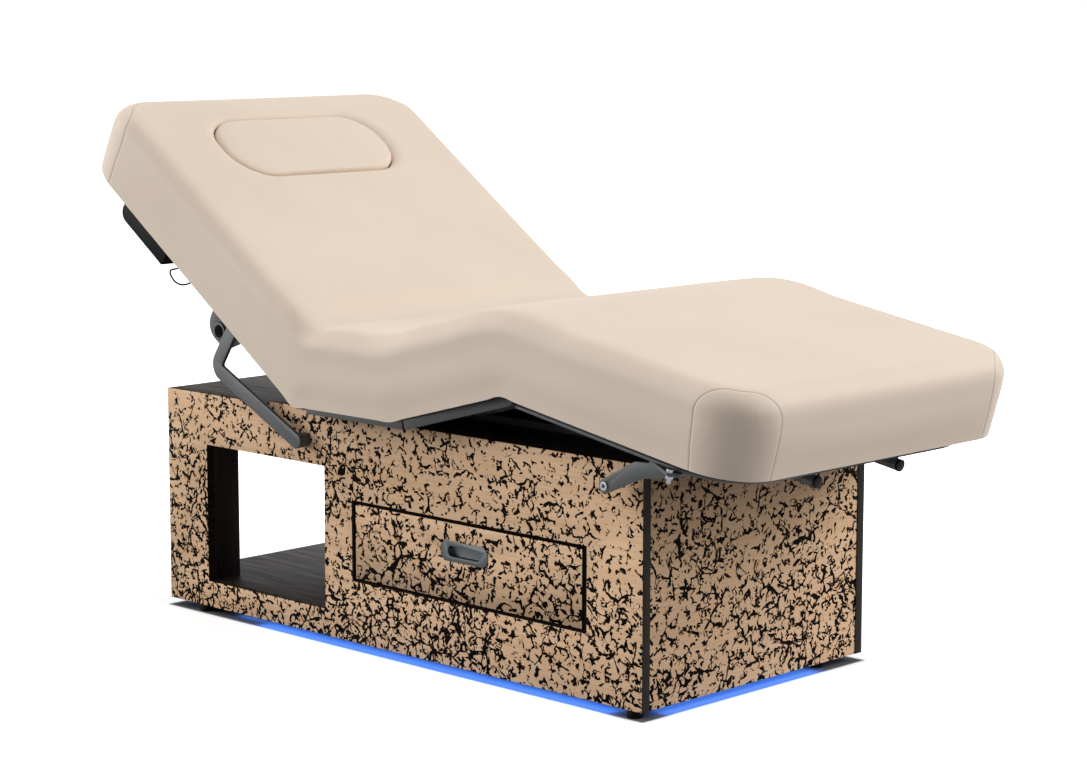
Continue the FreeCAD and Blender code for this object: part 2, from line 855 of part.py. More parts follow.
def make_thigh():
    """The thigh section, hinged to the seat."""
    cushion = cushion_blank(-overrun / 2, thigh_length + overrun / 2, False)
    cushion = trim_start(cushion, end_gap, thigh_face_angle)
    cushion = trim_end(cushion, thigh_length - end_gap, 0)
    ply_piece = ply_board(ply_bend_gap, thigh_length - ply_bend_gap, False)
    cushion = knuckle_relief(knuckle_relief(cushion, 0), thigh_length).cut(ply_piece)
    add("thigh_cushion", cushion, thigh_place)
    add("thigh_board", ply_piece, thigh_place)
    rail_end = thigh_length - rail_knee_gap
    rail = plate_xz([
        (rail_bend_gap, -rail_height, 0),
        (rail_end, -rail_height, rail_knee_radius),
        (rail_end, 0, 0),
        (rail_bend_gap, 0, 0),
    ], -rail_face, -rail_face + rail_width)
    stringer = block(thigh_stringer_start, rail_end, -thigh_stringer_y - thigh_stringer_width / 2,
                     -thigh_stringer_y + thigh_stringer_width / 2, -rail_height, -strip_height)
    add("thigh_rails", group([rail, far(rail), stringer, far(stringer)]), thigh_place)
    reach = rail_face - rail_width
    add("thigh_strips", flat_strips(thigh_length, thigh_strip_shares, strip_height, reach), thigh_place)
    leaves = group([turning_leaves(1), holding_leaves(-1, thigh_length)])
    add("thigh_hinge_leaves", group(leaves.Solids), thigh_place)
    add("knee_hinge_pins", hinge_pins(thigh_length), thigh_place)
    add("seat_roll", bend_roll(thigh_angle, thigh_face_angle), thigh_place)
    fan = knee_fan()
    fan.translate(Vec(thigh_length, 0, 0))
    add("knee_roll", fan, thigh_place)


def make_leg():
    """The leg section, hinged at the knee."""
    cushion = trim_start(cushion_blank(-overrun / 2, leg_length, True), end_gap, 0)
    ply_piece = ply_board(ply_bend_gap, leg_length, True)
    cushion = knuckle_relief(cushion, 0).cut(ply_piece)
    add("leg_cushion", cushion, leg_place)
    add("leg_board", ply_piece, leg_place)
    rail_end = leg_length - leg_rail_end_inset
    rails = end_rails(leg_rail_knee_gap, rail_end, rail_face, leg_rail_height, leg_rail_radius)
    add("leg_rails", group(rails), leg_place)
    reach = rail_face - rail_width
    clear_length = rail_end - rail_width
    add("leg_strips", flat_strips(clear_length, leg_strip_shares, strip_height, reach), leg_place)
    add("leg_hinge_leaves", turning_leaves(1), leg_place)
    make_levers()
    make_tubes()


def make_levers():
    """A bent lever each side, welded to a tongue that is bolted under the rail."""
    end = Vec(lever_end[0], 0, -lever_end[1])
    knee = Vec(lever_knee[0], 0, -lever_knee[1])
    way = (knee - end).normalize()
    side = Vec(-way.z, 0, way.x)
    tip = end - way * lever_end_radius
    corner = lever_end_radius - clear
    upper = tip + side * lever_end_radius
    lower = tip - side * lever_end_radius
    knee_upper = knee + side * lever_knee_half
    knee_lower = knee - side * lever_knee_half
    tongue_high = -leg_rail_height
    tongue_low = tongue_high - tongue_height
    plate_outer = rail_face - lever_inset
    plate_inner = plate_outer - arm_thickness
    lever = plate_xz([
        (upper.x, upper.z, corner),
        (knee_upper.x, knee_upper.z, lever_round),
        (tongue_start, tongue_low, 0),
        (tongue_end, tongue_low, 0),
        (lever_tip[0], -lever_tip[1], 0),
        (knee_lower.x, knee_lower.z, lever_round),
        (lower.x, lower.z, corner),
    ], -plate_outer, -plate_inner)
    inner_y = -rail_face + rail_width
    tongue = plate_xy([
        (tongue_start, inner_y, 0),
        (tongue_start, -plate_outer, 0),
        (bolt_from_knee, -rail_face - tongue_outset, 0),
        (tongue_end, -rail_face - tongue_tip_outset, 0),
        (tongue_end, inner_y, 0),
    ], tongue_low, tongue_high)
    bolt_hole = rod(bolt_radius, tongue_height, Vec(bolt_from_knee, -bolt_y, tongue_low), along_z)
    screw_hole = rod(lever_socket_radius, arm_thickness, Vec(end.x, -plate_outer, end.z), along_y)
    welded = lever.fuse(tongue).cut(bolt_hole).cut(screw_hole).removeSplitter()
    add("foot_levers", both(welded), leg_place)

    head = rod(bolt_head_radius, bolt_head_height, Vec(bolt_from_knee, -bolt_y, tongue_high), along_z)
    shank = rod(bolt_radius, bolt_length, Vec(bolt_from_knee, -bolt_y, tongue_high - bolt_length), along_z)
    nut_start = Vec(bolt_from_knee, -bolt_y, tongue_low - bolt_nut_height)
    nut = rod(bolt_nut_radius, bolt_nut_height, nut_start, along_z)
    bolt = head.fuse(shank).fuse(nut).removeSplitter()
    screw_start = Vec(end.x, -plate_outer - lever_screw_height, end.z)
    washer = rod(lever_screw_radius, lever_screw_height, screw_start, along_y)
    socket = rod(lever_socket_radius, lever_screw_height, screw_start, along_y)
    shaft = rod(lever_socket_radius, arm_thickness, Vec(end.x, -plate_outer, end.z), along_y)
    screw = washer.cut(socket).fuse(shaft).removeSplitter()
    add("lever_bolts", group([bolt, screw, far(bolt), far(screw)]), leg_place)


def make_tubes():
    """The two accessory tubes under the foot end, with their caps."""
    tube = rod(tube_radius, tube_end - tube_start, Vec(tube_start, -tube_y, -tube_drop), along_x)
    rail_end = leg_length - leg_rail_end_inset
    inner_hanger = block(tube_start, tube_start + hanger_length, -tube_y - hanger_width / 2,
                         -tube_y + hanger_width / 2, -tube_drop, -strip_height)
    outer_hanger = block(rail_end - rail_width, tube_end - hanger_from_end, -tube_y - hanger_width / 2,
                         -tube_y + hanger_width / 2, -tube_drop, -leg_rail_height)
    bore = rod(tube_bore, tube_end - tube_start, Vec(tube_start, -tube_y, -tube_drop), along_x)
    hung = tube.fuse(inner_hanger).fuse(outer_hanger).cut(bore).removeSplitter()
    add("accessory_tubes", both(hung), leg_place)
    cap = rod(tube_cap_radius, tube_cap_height, Vec(tube_end, -tube_y, -tube_drop), along_x)
    plug = rod(tube_bore, tube_cap_plug, Vec(tube_end - tube_cap_plug, -tube_y, -tube_drop), along_x)
    foot_cap = cap.fuse(plug).removeSplitter()
    knee_cap = head_turned(foot_cap)
    knee_cap.translate(Vec(tube_start + tube_end, 0, 0))
    add("tube_caps", group([foot_cap, far(foot_cap), knee_cap, far(knee_cap)]), leg_place)


def plug_outline(spread, height):
    half_x = plug_length / 2 + spread
    half_y = plug_width / 2 + spread
    radius = max(plug_corner_radius + spread, plug_corner_radius * least_radius_share)
    x = plug_from_hinge
    return rounded_wire([
        (Vec(x - half_x, -half_y, height), radius),
        (Vec(x + half_x, -half_y, height), radius),
        (Vec(x + half_x, half_y, height), radius),
        (Vec(x - half_x, half_y, height), radius),
    ])


def make_back():
    """The back section, drawn towards +X and then turned to run towards the head."""
    cushion = trim_start(cushion_blank(-overrun / 2, back_length, True), end_gap, back_face_angle)
    ply_piece = ply_board(ply_bend_gap, back_length, True)
    cushion = knuckle_relief(cushion, 0).cut(ply_piece)
    recess = Part.Face(plug_outline(0, ply)).extrude(Vec(0, 0, cushion_thickness + overrun))
    breath = plate_xy([
        (plug_from_hinge - breath_length / 2, -breath_width / 2, breath_radius),
        (plug_from_hinge + breath_length / 2, -breath_width / 2, breath_radius),
        (plug_from_hinge + breath_length / 2, breath_width / 2, breath_radius),
        (plug_from_hinge - breath_length / 2, breath_width / 2, breath_radius),
    ], -small_overrun, ply + small_overrun)
    add("back_cushion", head_turned(cushion.cut(recess)), back_place)
    add("back_board", head_turned(ply_piece.cut(breath)), back_place)
    base = ply + clear
    height = cushion_thickness + plug_rise - base
    levels = pad_levels(plug_foot_round, height, cushion_crown, plug_edge_radius, plug_crown_run)
    wires = [plug_outline(spread - plug_foot_round - plug_play, base + z) for spread, z in levels]
    add("face_plug", head_turned(Part.makeLoft(wires, True, True)), back_place)

    rail_end = back_length - back_rail_end_inset
    rails = end_rails(rail_bend_gap, rail_end, back_rail_face, back_rail_height, back_rail_radius)
    add("back_rails", head_turned(group(rails)), back_place)
    reach = back_rail_face - rail_width
    clear_length = rail_end - rail_width
    strips = flat_strips(clear_length, back_strip_shares, strip_height, reach)
    add("back_strips", head_turned(strips), back_place)
    add("back_hinge_leaves", turning_leaves(-1), back_place)
    make_arms()
    make_case()


def make_arms():
    """The bracket plate, bent arm, ring and boss on each side of the back."""
    ring_x, ring_z = ring_at[0], -ring_at[1]
    lug = plate_xz([
        (lug_head, -back_rail_height, 0),
        (lug_outer, -lug_low, lug_head_radius),
        (arm_root[0], -lug_low, lug_foot_radius),
        (lug_foot, -back_rail_height, 0),
    ], -arm_inner_y, -lug_inner_y)
    line = [(x, -drop) for x, drop in (arm_root, arm_bend, arm_end)]
    outline = bar_outline(line, arm_width, arm_bend_radius)
    arm = plate_xz(outline, -arm_inner_y - arm_thickness, -arm_inner_y)
    ring_start = -arm_inner_y - ring_proud
    ring_length = -boss_inner_y - ring_start
    ring_solid = rod(ring_radius, ring_length, Vec(ring_x, ring_start, ring_z), along_y)
    bore = rod(ring_bore, ring_length, Vec(ring_x, ring_start, ring_z), along_y)
    arms = lug.fuse(arm).cut(ring_solid).removeSplitter()
    add("side_arms", head_turned(both(arms)), back_place)
    add("arm_sockets", head_turned(both(ring_solid.cut(bore))), back_place)
    boss = rod(boss_radius, boss_length, Vec(arm_end[0], -arm_inner_y, -arm_end[1]), along_y)
    inner_edges = [edge for edge in boss.Edges if edge.BoundBox.YMin > -boss_inner_y - boss_chamfer]
    boss = boss.makeChamfer(boss_chamfer, inner_edges)
    add("arm_bosses", head_turned(both(boss)), back_place)


def make_case():
    """The black control box under the near rail and the short lead that loops out of it."""
    end = case_from_hinge + case_length
    high = -back_rail_height
    low = high - case_height
    case = plate_xz([
        (case_from_hinge, high, 0),
        (case_from_hinge, low, case_foot_round),
        (end, low, case_head_round),
        (end, high, 0),
    ], -case_face, -case_face + case_width)
    add("back_control_box", head_turned(case), back_place)
    points = [Vec(case_from_hinge - reach, -lead_y, -drop) for reach, drop in lead_route]
    edges = []
    start = points[0]
    radii = []
    for i in range(1, len(points) - 1):
        here = points[i]
        before = points[i - 1] - here
        after = points[i + 1] - here
        turn = math.pi - before.getAngle(after)
        reach = lead_bend_share * min(before.Length, after.Length)
        radius = reach / math.tan(turn / 2)
        radii.append(round(radius, 1))
        first = here + before.normalize() * reach
        last = here + after.normalize() * reach
        centre = here + (before + after).normalize() * (radius / math.cos(turn / 2))
        middle = centre + (here - centre).normalize() * radius
        edges.append(Part.LineSegment(start, first).toShape())
        edges.append(Part.Arc(first, middle, last).toShape())
        start = last
    edges.append(Part.LineSegment(start, points[-1]).toShape())
    path = Part.Wire(edges)
    ring = Part.Wire(Part.makeCircle(lead_radius, points[0], (points[1] - points[0]).normalize()))
    lead = path.makePipeShell([ring], True, False)
    print("lead length", round(path.Length, 1), "radii", radii, "volume over section times length",
          round(lead.Volume / (math.pi * lead_radius * lead_radius * path.Length), 4))
    add("control_box_lead", head_turned(lead), back_place)


def set_down():
    """Move everything so that the origin is under the middle of the whole box, and write the pieces."""
    box = group(list(pieces.values())).optimalBoundingBox(False, False)
    shift = Vec(-(box.XMin + box.XMax) / 2, -(box.YMin + box.YMax) / 2, -box.ZMin)
    os.makedirs("parts", exist_ok=True)
    for name, shape in pieces.items():
        shape.translate(shift)
        solids = shape.Solids
        kept = solids[0] if len(solids) == 1 else group(solids)
        kept.exportStep("parts/" + name + ".step")
        if not kept.isValid():
            print("not valid:", name)
    print("pieces", len(pieces), "box", box.XLength, box.YLength, box.ZLength)
    for name, point in (
        ("back_hinge", back_place.Base),
        ("thigh_hinge", thigh_place.Base),
        ("knee_hinge", leg_place.Base),
        ("cabinet foot end", Vec(0, 0, 0)),
    ):
        place = point + shift
        print(name, round(place.x, 3), round(place.y, 3), round(place.z, 3))
    print("knee ratio", round(knee_ratio, 5))


make_cabinet()
make_feet()
make_lights()
make_power()
make_drawer()
make_lift()
make_seat()
make_thigh()
make_leg()
make_back()
set_down()
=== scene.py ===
import math
import bpy
import bmesh
import numpy as np
from mathutils import Matrix, Vector


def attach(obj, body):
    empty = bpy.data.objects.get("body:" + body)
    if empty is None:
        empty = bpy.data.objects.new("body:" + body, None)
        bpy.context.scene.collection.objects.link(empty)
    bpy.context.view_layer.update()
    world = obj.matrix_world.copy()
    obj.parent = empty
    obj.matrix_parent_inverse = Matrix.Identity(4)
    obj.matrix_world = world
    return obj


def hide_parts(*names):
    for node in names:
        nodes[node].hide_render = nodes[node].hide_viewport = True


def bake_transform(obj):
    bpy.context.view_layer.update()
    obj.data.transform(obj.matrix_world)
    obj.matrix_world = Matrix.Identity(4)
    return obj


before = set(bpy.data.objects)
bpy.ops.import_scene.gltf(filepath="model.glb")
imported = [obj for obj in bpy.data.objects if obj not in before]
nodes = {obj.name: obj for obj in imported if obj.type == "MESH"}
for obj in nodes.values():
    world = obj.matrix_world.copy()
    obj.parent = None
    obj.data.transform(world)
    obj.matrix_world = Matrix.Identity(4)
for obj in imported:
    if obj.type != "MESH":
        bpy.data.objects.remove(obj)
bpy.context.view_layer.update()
print("frame loaded:", len(nodes), "nodes")


# camera, lamps and floor

camera = {
    "place": (3.6103, -3.6693, 1.2426),
    "azimuth": 44.174,
    "pitch": -8.303,
    "roll": 0.07,
    "lens": 90.17,
    "sensor": 36.0,
}

lamps = {
    "aim": (0.0, 0.0, 0.5),
    "ambient": 0.24,
    "background": 1.0,
    "softboxes": {
        "left": {"azimuth": -52.0, "height": 12.0, "distance": 20.0, "size": 11.0, "power": 2060.0},
        "right": {"azimuth": 140.0, "height": 31.0, "distance": 14.0, "size": 8.0, "power": 1140.0},
        "top": {"azimuth": 30.0, "height": 84.0, "distance": 8.0, "size": 6.0, "power": 60.0},
        "near": {"azimuth": 0.0, "height": 50.0, "distance": 14.0, "size": 8.0, "power": 226.0},
        "leftHigh": {"azimuth": -52.0, "height": 45.0, "distance": 14.0, "size": 8.0, "power": 323.0},
        "foot": {"azimuth": 100.0, "height": 20.0, "distance": 14.0, "size": 8.0, "power": 323.0},
    },
}

underLamps = {  # blue light on the floor, from just below the panels' edges
    "height": 0.0135,
    "colour": (0.07, 0.24, 1.0),
    "perArea": 42.0,
    "places": {
        "near": {"middle": (0.03, -0.294), "size": (0.94, 0.016)},
        "far": {"middle": (0.03, 0.294), "size": (0.94, 0.016)},
        "foot": {"middle": (0.567, -0.03), "size": (0.016, 0.42)},
        "head": {"middle": (-0.703, -0.03), "size": (0.016, 0.42)},
    },
}

floor = {
    "size": 60.0,
    "seen": (0.9, 0.9, 0.9, 1.0),
    # painted shade: a dark floor colour under the cabinet, where its shadow falls
    "paintedShadeUnder": (0.16, 0.16, 0.17, 1.0),
    "bounced": (0.2, 0.2, 0.2, 1.0),
    "underMiddle": (-0.068, 0.0),
    "underHalf": (0.645, 0.304),
    "edge": 0.012,
    "nearLift": 0.5,
    "farLift": 0.6,
    "farStart": 0.05,
    "farEnd": 0.9,
}


def addCamera(values):
    bpy.ops.object.camera_add(location=values["place"])
    made = bpy.context.object
    made.name = "camera"
    around = Matrix.Rotation(math.radians(values["azimuth"]), 3, "Z")
    down = Matrix.Rotation(math.radians(90 + values["pitch"]), 3, "X")
    roll = Matrix.Rotation(math.radians(values["roll"]), 3, "Z")
    made.rotation_euler = (around @ down @ roll).to_euler()
    made.data.lens = values["lens"]
    made.data.sensor_width = values["sensor"]
    made.data.clip_end = 200.0
    bpy.context.scene.camera = made


def addSoftbox(name, values):
    turn = math.radians(values["azimuth"])
    rise = math.radians(values["height"])
    away = Vector((math.sin(turn) * math.cos(rise), -math.cos(turn) * math.cos(rise), math.sin(rise)))
    place = Vector(lamps["aim"]) + away * values["distance"]
    bpy.ops.object.light_add(type="AREA", location=place)
    lamp = bpy.context.object
    lamp.name = name + "Softbox"
    lamp.rotation_euler = away.to_track_quat("Z", "Y").to_euler()
    lamp.data.shape = "DISK"
    lamp.data.size = values["size"]
    lamp.data.energy = values["power"]
    lamp.visible_camera = False


def addUnderLamp(name, values):
    bpy.ops.object.light_add(type="AREA", location=(*values["middle"], underLamps["height"]))
    lamp = bpy.context.object
    lamp.name = name + "UnderLamp"
    lamp.data.shape = "RECTANGLE"
    lamp.data.size, lamp.data.size_y = values["size"]
    lamp.data.energy = underLamps["perArea"] * values["size"][0] * values["size"][1]
    lamp.data.color = underLamps["colour"]
    lamp.visible_camera = False


addCamera(camera)
for name, values in lamps["softboxes"].items():
    addSoftbox(name, values)
for name, values in underLamps["places"].items():
    addUnderLamp(name, values)


# shader sums

class Wire:  # one shader socket, so that sums on values add their own nodes
    def __init__(self, tree, socket=None):
        self.tree = tree
        self.socket = socket

    def node(self, kind, settings=None, sockets=None, output=0):
        made = self.tree.nodes.new("ShaderNode" + kind)
        for key, value in (settings or {}).items():
            setattr(made, key, value)
        for key, value in (sockets or {}).items():
            if isinstance(value, Wire):
                self.tree.links.new(value.socket, made.inputs[key])
            else:
                made.inputs[key].default_value = value
        return Wire(self.tree, made.outputs[output] if len(made.outputs) else None)

    def sum(self, operation, first, second=0.0):
        return self.node("Math", {"operation": operation}, {0: first, 1: second})

    def __pow__(self, power):
        return self.sum("POWER", self, power)

    def __add__(self, other):
        return self.sum("ADD", self, other)

    __radd__ = __add__

    def __sub__(self, other):
        return self.sum("SUBTRACT", self, other)

    def __rsub__(self, other):
        return self.sum("SUBTRACT", other, self)

    def __mul__(self, other):
        return self.sum("MULTIPLY", self, other)

    __rmul__ = __mul__

    def __truediv__(self, other):
        return self.sum("DIVIDE", self, other)

    def __gt__(self, other):
        return self.sum("GREATER_THAN", self, other)

    def __lt__(self, other):
        return self.sum("LESS_THAN", self, other)

    def __abs__(self):
        return self.sum("ABSOLUTE", self)

    def most(self, other):
        return self.sum("MAXIMUM", self, other)

    def ease(self, low, high):  # 0 below low, 1 above high, smooth between
        return self.node("MapRange", {"interpolation_type": "SMOOTHSTEP"},
                         {"Value": self, "From Min": low, "From Max": high})

    def parts(self):
        return [self.node("SeparateXYZ", None, {0: self}, i) for i in range(3)]

    def stretched(self, scale):
        return self.node("Mapping", None, {"Vector": self, "Scale": scale})

    def pushed(self, other, amount):  # this vector moved along another one
        return self.node("VectorMath", {"operation": "MULTIPLY_ADD"},
                         {0: other, 1: (amount,) * 3, 2: self})

    def noise(self, scale, detail=2.0, roughness=0.5, output=0):
        return self.node("TexNoise", None, {"Vector": self, "Scale": scale, "Detail": detail,
                                            "Roughness": roughness}, output)

    def cells(self, scale, feature="F1", flat=False):
        settings = {"feature": feature, "voronoi_dimensions": "2D" if flat else "3D"}
        return self.node("TexVoronoi", settings, {"Vector": self, "Scale": scale})

    def blend(self, first, second):  # two colours, mixed by this value
        return self.node("Mix", {"data_type": "RGBA"}, {0: self, 6: first, 7: second}, 2)

    def bump(self, height):
        return self.node("Bump", None, {"Height": self, "Distance": height})


def colour(red, green, blue):  # from the 0 to 255 values of a picture
    shares = [value / 255 for value in (red, green, blue)]
    linear = [share / 12.92 if share <= 0.04045 else ((share + 0.055) / 1.055) ** 2.4 for share in shares]
    return (*linear, 1.0)


def startFinish(name):
    material = bpy.data.materials.new(name)
    material.use_nodes = True
    material.node_tree.nodes.clear()
    return material, Wire(material.node_tree)


def endFinish(wire, values):
    shader = wire.node("BsdfPrincipled", None, values)
    wire.node("OutputMaterial", None, {"Surface": shader})


def objectPlace(wire):
    return wire.node("TexCoord", output=3)


def floorMaterial(values):  # white to the eye away from the cabinet, with painted shade on the floor under it, dark to the light it bounces
    material, wire = startFinish("floorFinish")
    x, y, z = objectPlace(wire).parts()
    overX = (abs(x - values["underMiddle"][0]) - values["underHalf"][0]).most(0)
    overY = (abs(y - values["underMiddle"][1]) - values["underHalf"][1]).most(0)
    away = (overX * overX + overY * overY) ** 0.5
    outside = away.ease(0, values["edge"])
    distant = away.ease(values["farStart"], values["farEnd"])
    lift = outside * values["nearLift"] + distant * values["farLift"]
    mirrored = wire.node("LightPath", output="Is Glossy Ray")
    seen = wire.node("LightPath", output="Is Camera Ray").most(mirrored)
    # painted shadow: the floor under the cabinet gets a dark colour in place of its white
    shade = outside.blend(values["paintedShadeUnder"], values["seen"])
    plain = wire.node("BsdfDiffuse", None, {"Color": shade})
    glow = wire.node("Emission", None, {"Strength": lift})
    white = wire.node("AddShader", None, {0: plain, 1: glow})
    dark = wire.node("BsdfDiffuse", None, {"Color": values["bounced"]})
    both = wire.node("MixShader", None, {0: seen, 1: dark, 2: white})
    wire.node("OutputMaterial", None, {"Surface": both})
    return material


def setWorld():
    world = bpy.data.worlds.new("studio")
    world.use_nodes = True
    world.node_tree.nodes.clear()
    wire = Wire(world.node_tree)
    direct = wire.node("LightPath", output="Is Camera Ray")
    for ray in ("Is Glossy Ray", "Is Transmission Ray"):
        direct = direct.most(wire.node("LightPath", output=ray))
    strength = direct * (lamps["background"] - lamps["ambient"]) + lamps["ambient"]
    shade = wire.node("Background", None, {"Color": (1, 1, 1, 1), "Strength": strength})
    wire.node("OutputWorld", None, {"Surface": shade})
    bpy.context.scene.world = world


bpy.ops.mesh.primitive_plane_add(size=floor["size"])
ground = bpy.context.object
ground.name = "ground"
ground.data.materials.append(floorMaterial(floor))
setWorld()
bpy.context.scene.view_settings.view_transform = "Standard"
print("camera, lamps and floor set")


# finishes

upholsteryLook = {
    "base": colour(234, 217, 199),
    "deep": colour(230, 212, 194),
    "seam": colour(160, 142, 126),
    "cloudScale": 3.0,
    "grainScale": 900.0,
    "grainHeight": 0.00006,
    "roughness": 0.52,
    "gloss": 0.2,
    "sheen": 0.06,
    "seamWidth": 0.0006,
    "seamSoft": 0.0005,
    "seamDepth": 0.0004,
    "seamStrength": 0.85,
}


def upholsteryFinish(values, seamed):
    material, wire = startFinish("upholstery" + ("Seamed" if seamed else "Plain"))
    place = objectPlace(wire)
    cloud = place.noise(values["cloudScale"], 3.0, 0.6)
    shade = cloud.ease(0.35, 0.75).blend(values["base"], values["deep"])
    grain = place.cells(values["grainScale"])
    fine = place.noise(values["grainScale"] * 0.4, 2.0)
    relief = grain * 0.6 + fine * 0.4
    rough = values["roughness"] + (fine - 0.5) * 0.08
    normal = relief.bump(values["grainHeight"])
    if seamed:
        away = abs(wire.node("Attribute", {"attribute_name": "seam"}, None, "Fac"))
        width, soft = values["seamWidth"], values["seamSoft"]
        line = 1 - away.ease(width - soft, width + soft)
        shade = (line * values["seamStrength"]).blend(shade, values["seam"])
        groove = away.ease(0, width * 3)
        normal = wire.node("Bump", None, {"Height": groove, "Distance": values["seamDepth"],
                                          "Normal": normal})
    endFinish(wire, {"Base Color": shade, "Roughness": rough, "Normal": normal,
                     "Specular IOR Level": values["gloss"], "Sheen Weight": values["sheen"],
                     "Sheen Roughness": 0.5})
    return material


laminateLook = {
    "wood": colour(246, 208, 171),
    "woodDeep": colour(226, 186, 147),
    "mark": colour(6, 3, 2),
    "edge": colour(30, 23, 19),
    "edgeLight": colour(52, 40, 33),
    "strokes": [  # cells per metre, half width of a mark, gate scale, gate cut
        (11.0, 0.0027, 8.0, 0.53),
        (28.0, 0.0025, 25.0, 0.49),
        (60.0, 0.0023, 60.0, 0.465),
    ],
    "gateSoft": 0.08,
    "speckScale": 120.0,
    "speckSize": 0.0026,
    "grainHeight": 0.0002,
    "roughness": 0.5,
    "gloss": 0.02,
    "sideFace": 0.3046,
    "endFace": 0.5758,
    "drawerLow": (-0.1561, 0.1361),
    "drawerHigh": (0.4409, 0.2851),
    "drawerBand": (0.0056, 0.0034),
}


def ragged(flat, scale, amount):  # the sheet's own place, pushed about so that marks come out uneven
    push = flat.noise(scale, 2.0, output=1)
    even = flat.node("VectorMath", {"operation": "SUBTRACT"}, {0: push, 1: (0.5, 0.5, 0.5)})
    return flat.pushed(even, amount)


def laminateMarks(flat, height, values):  # broken veins, strokes and specks, thinning out upwards
    bent = ragged(ragged(flat, 22.0, 0.03), 70.0, 0.010)
    crowd = (flat.noise(5.0, 2.0) - 0.5) * 0.3 - (height - 0.2) * 0.12
    thick = flat.noise(75.0, 1.0).ease(0.3, 0.7) * 1.1 + 0.35
    marks = 0.0
    for scale, width, gateScale, cut in values["strokes"]:
        edge = bent.cells(scale, "DISTANCE_TO_EDGE", flat=True) / scale
        gate = (flat.noise(gateScale, 1.5) + crowd).ease(cut, cut + values["gateSoft"])
        marks = (edge < gate * thick * width).most(marks)
    speck = bent.cells(values["speckScale"], flat=True) / values["speckScale"]
    gate = (flat.noise(60.0, 1.0) + crowd).ease(0.42, 0.62)
    return marks.most(speck < gate * values["speckSize"])


def drawerBand(x, z, values):  # dark edging round the drawer front and its opening
    low, high, band = values["drawerLow"], values["drawerHigh"], values["drawerBand"]
    outX = abs(x - (low[0] + high[0]) / 2) - (high[0] - low[0]) / 2
    outZ = abs(z - (low[1] + high[1]) / 2) - (high[1] - low[1]) / 2
    within = (outX < band[0]) * (outZ < band[1])
    near = (outX > -band[0]).most(outZ > -band[1])
    return within * near


def laminateFinish(values):
    material, wire = startFinish("laminate")
    place = objectPlace(wire)
    x, y, z = place.parts()
    flat = wire.node("CombineXYZ", None, {0: x + y, 1: z})  # the sheet runs on round the corner
    marks = laminateMarks(flat, z, values)
    grain = flat.stretched((7.0, 260.0, 1.0)).noise(1.0, 4.0, 0.6)
    band = flat.stretched((1.2, 20.0, 1.0)).noise(1.0, 2.0)
    wood = (grain * 0.6 + band * 0.4).ease(0.35, 0.68).blend(values["wood"], values["woodDeep"])
    across = wire.node("TexCoord", output=1).parts()
    side = (abs(y) > values["sideFace"]) * (abs(across[1]) > 0.7)
    end = (x > values["endFace"]) * (across[0] > 0.7)
    near = side * (y < 0)
    dark = marks.most(near * drawerBand(x, z, values))
    face = dark.blend(wood, values["mark"])
    streak = place.stretched((9.0, 9.0, 160.0)).noise(1.0, 3.0)
    edge = streak.ease(0.3, 0.8).blend(values["edge"], values["edgeLight"])
    shade = side.most(end).blend(edge, face)
    relief = (grain - dark * 0.5).bump(values["grainHeight"])
    endFinish(wire, {"Base Color": shade, "Roughness": values["roughness"] + grain * 0.12 + dark * 0.1,
                     "Normal": relief, "Specular IOR Level": values["gloss"]})
    return material


woodLook = {
    "dark": {"light": colour(50, 40, 34), "deep": colour(19, 15, 13), "along": (5.0, 90.0, 90.0),
             "roughness": 0.42},
    "upright": {"light": colour(48, 38, 32), "deep": colour(18, 14, 12), "along": (90.0, 90.0, 5.0),
                "roughness": 0.42},
    "board": {"light": colour(46, 40, 37), "deep": colour(26, 22, 20), "along": (6.0, 60.0, 60.0),
              "roughness": 0.5},
    "birch": {"light": colour(214, 188, 150), "deep": colour(184, 152, 110), "along": (5.0, 70.0, 70.0),
              "roughness": 0.45},
    "ply": {"light": colour(52, 43, 37), "deep": colour(27, 21, 17), "along": (6.0, 55.0, 240.0),
            "roughness": 0.6},
}


def woodFinish(name, values):
    material, wire = startFinish(name)
    place = objectPlace(wire)
    wave = place.noise(3.0, 2.0, output=1)
    bent = place.pushed(wave, 0.02)
    grain = bent.stretched(values["along"]).noise(1.0, 6.0, 0.62)
    pores = bent.stretched(tuple(4 * size for size in values["along"])).noise(1.0, 3.0, 0.7)
    tone = grain.ease(0.28, 0.72)
    shade = tone.blend(values["deep"], values["light"])
    shade = (pores.ease(0.62, 0.74) * 0.5).blend(shade, values["deep"])
    endFinish(wire, {"Base Color": shade, "Roughness": values["roughness"] + (1 - tone) * 0.15,
                     "Normal": (grain * 0.5 + pores * 0.5).bump(0.0004), "Specular IOR Level": 0.15})
    return material


metalLook = {
    "grey": {"base": colour(77, 79, 80), "metal": 0.0, "roughness": 0.45, "grain": 1400.0,
             "height": 0.0001, "gloss": 0.3},
    "black": {"base": colour(34, 34, 36), "metal": 0.0, "roughness": 0.5, "grain": 1400.0,
              "height": 0.0001, "gloss": 0.3},
    "zinc": {"base": colour(120, 122, 125), "metal": 1.0, "roughness": 0.38, "grain": 500.0,
             "height": 0.00004, "gloss": 0.5},
    "pewter": {"base": colour(68, 71, 72), "metal": 1.0, "roughness": 0.45, "grain": 700.0,
               "height": 0.00005, "gloss": 0.5},
    "anodised": {"base": colour(196, 197, 199), "metal": 1.0, "roughness": 0.4, "grain": 900.0,
                 "height": 0.00004, "gloss": 0.5},
}


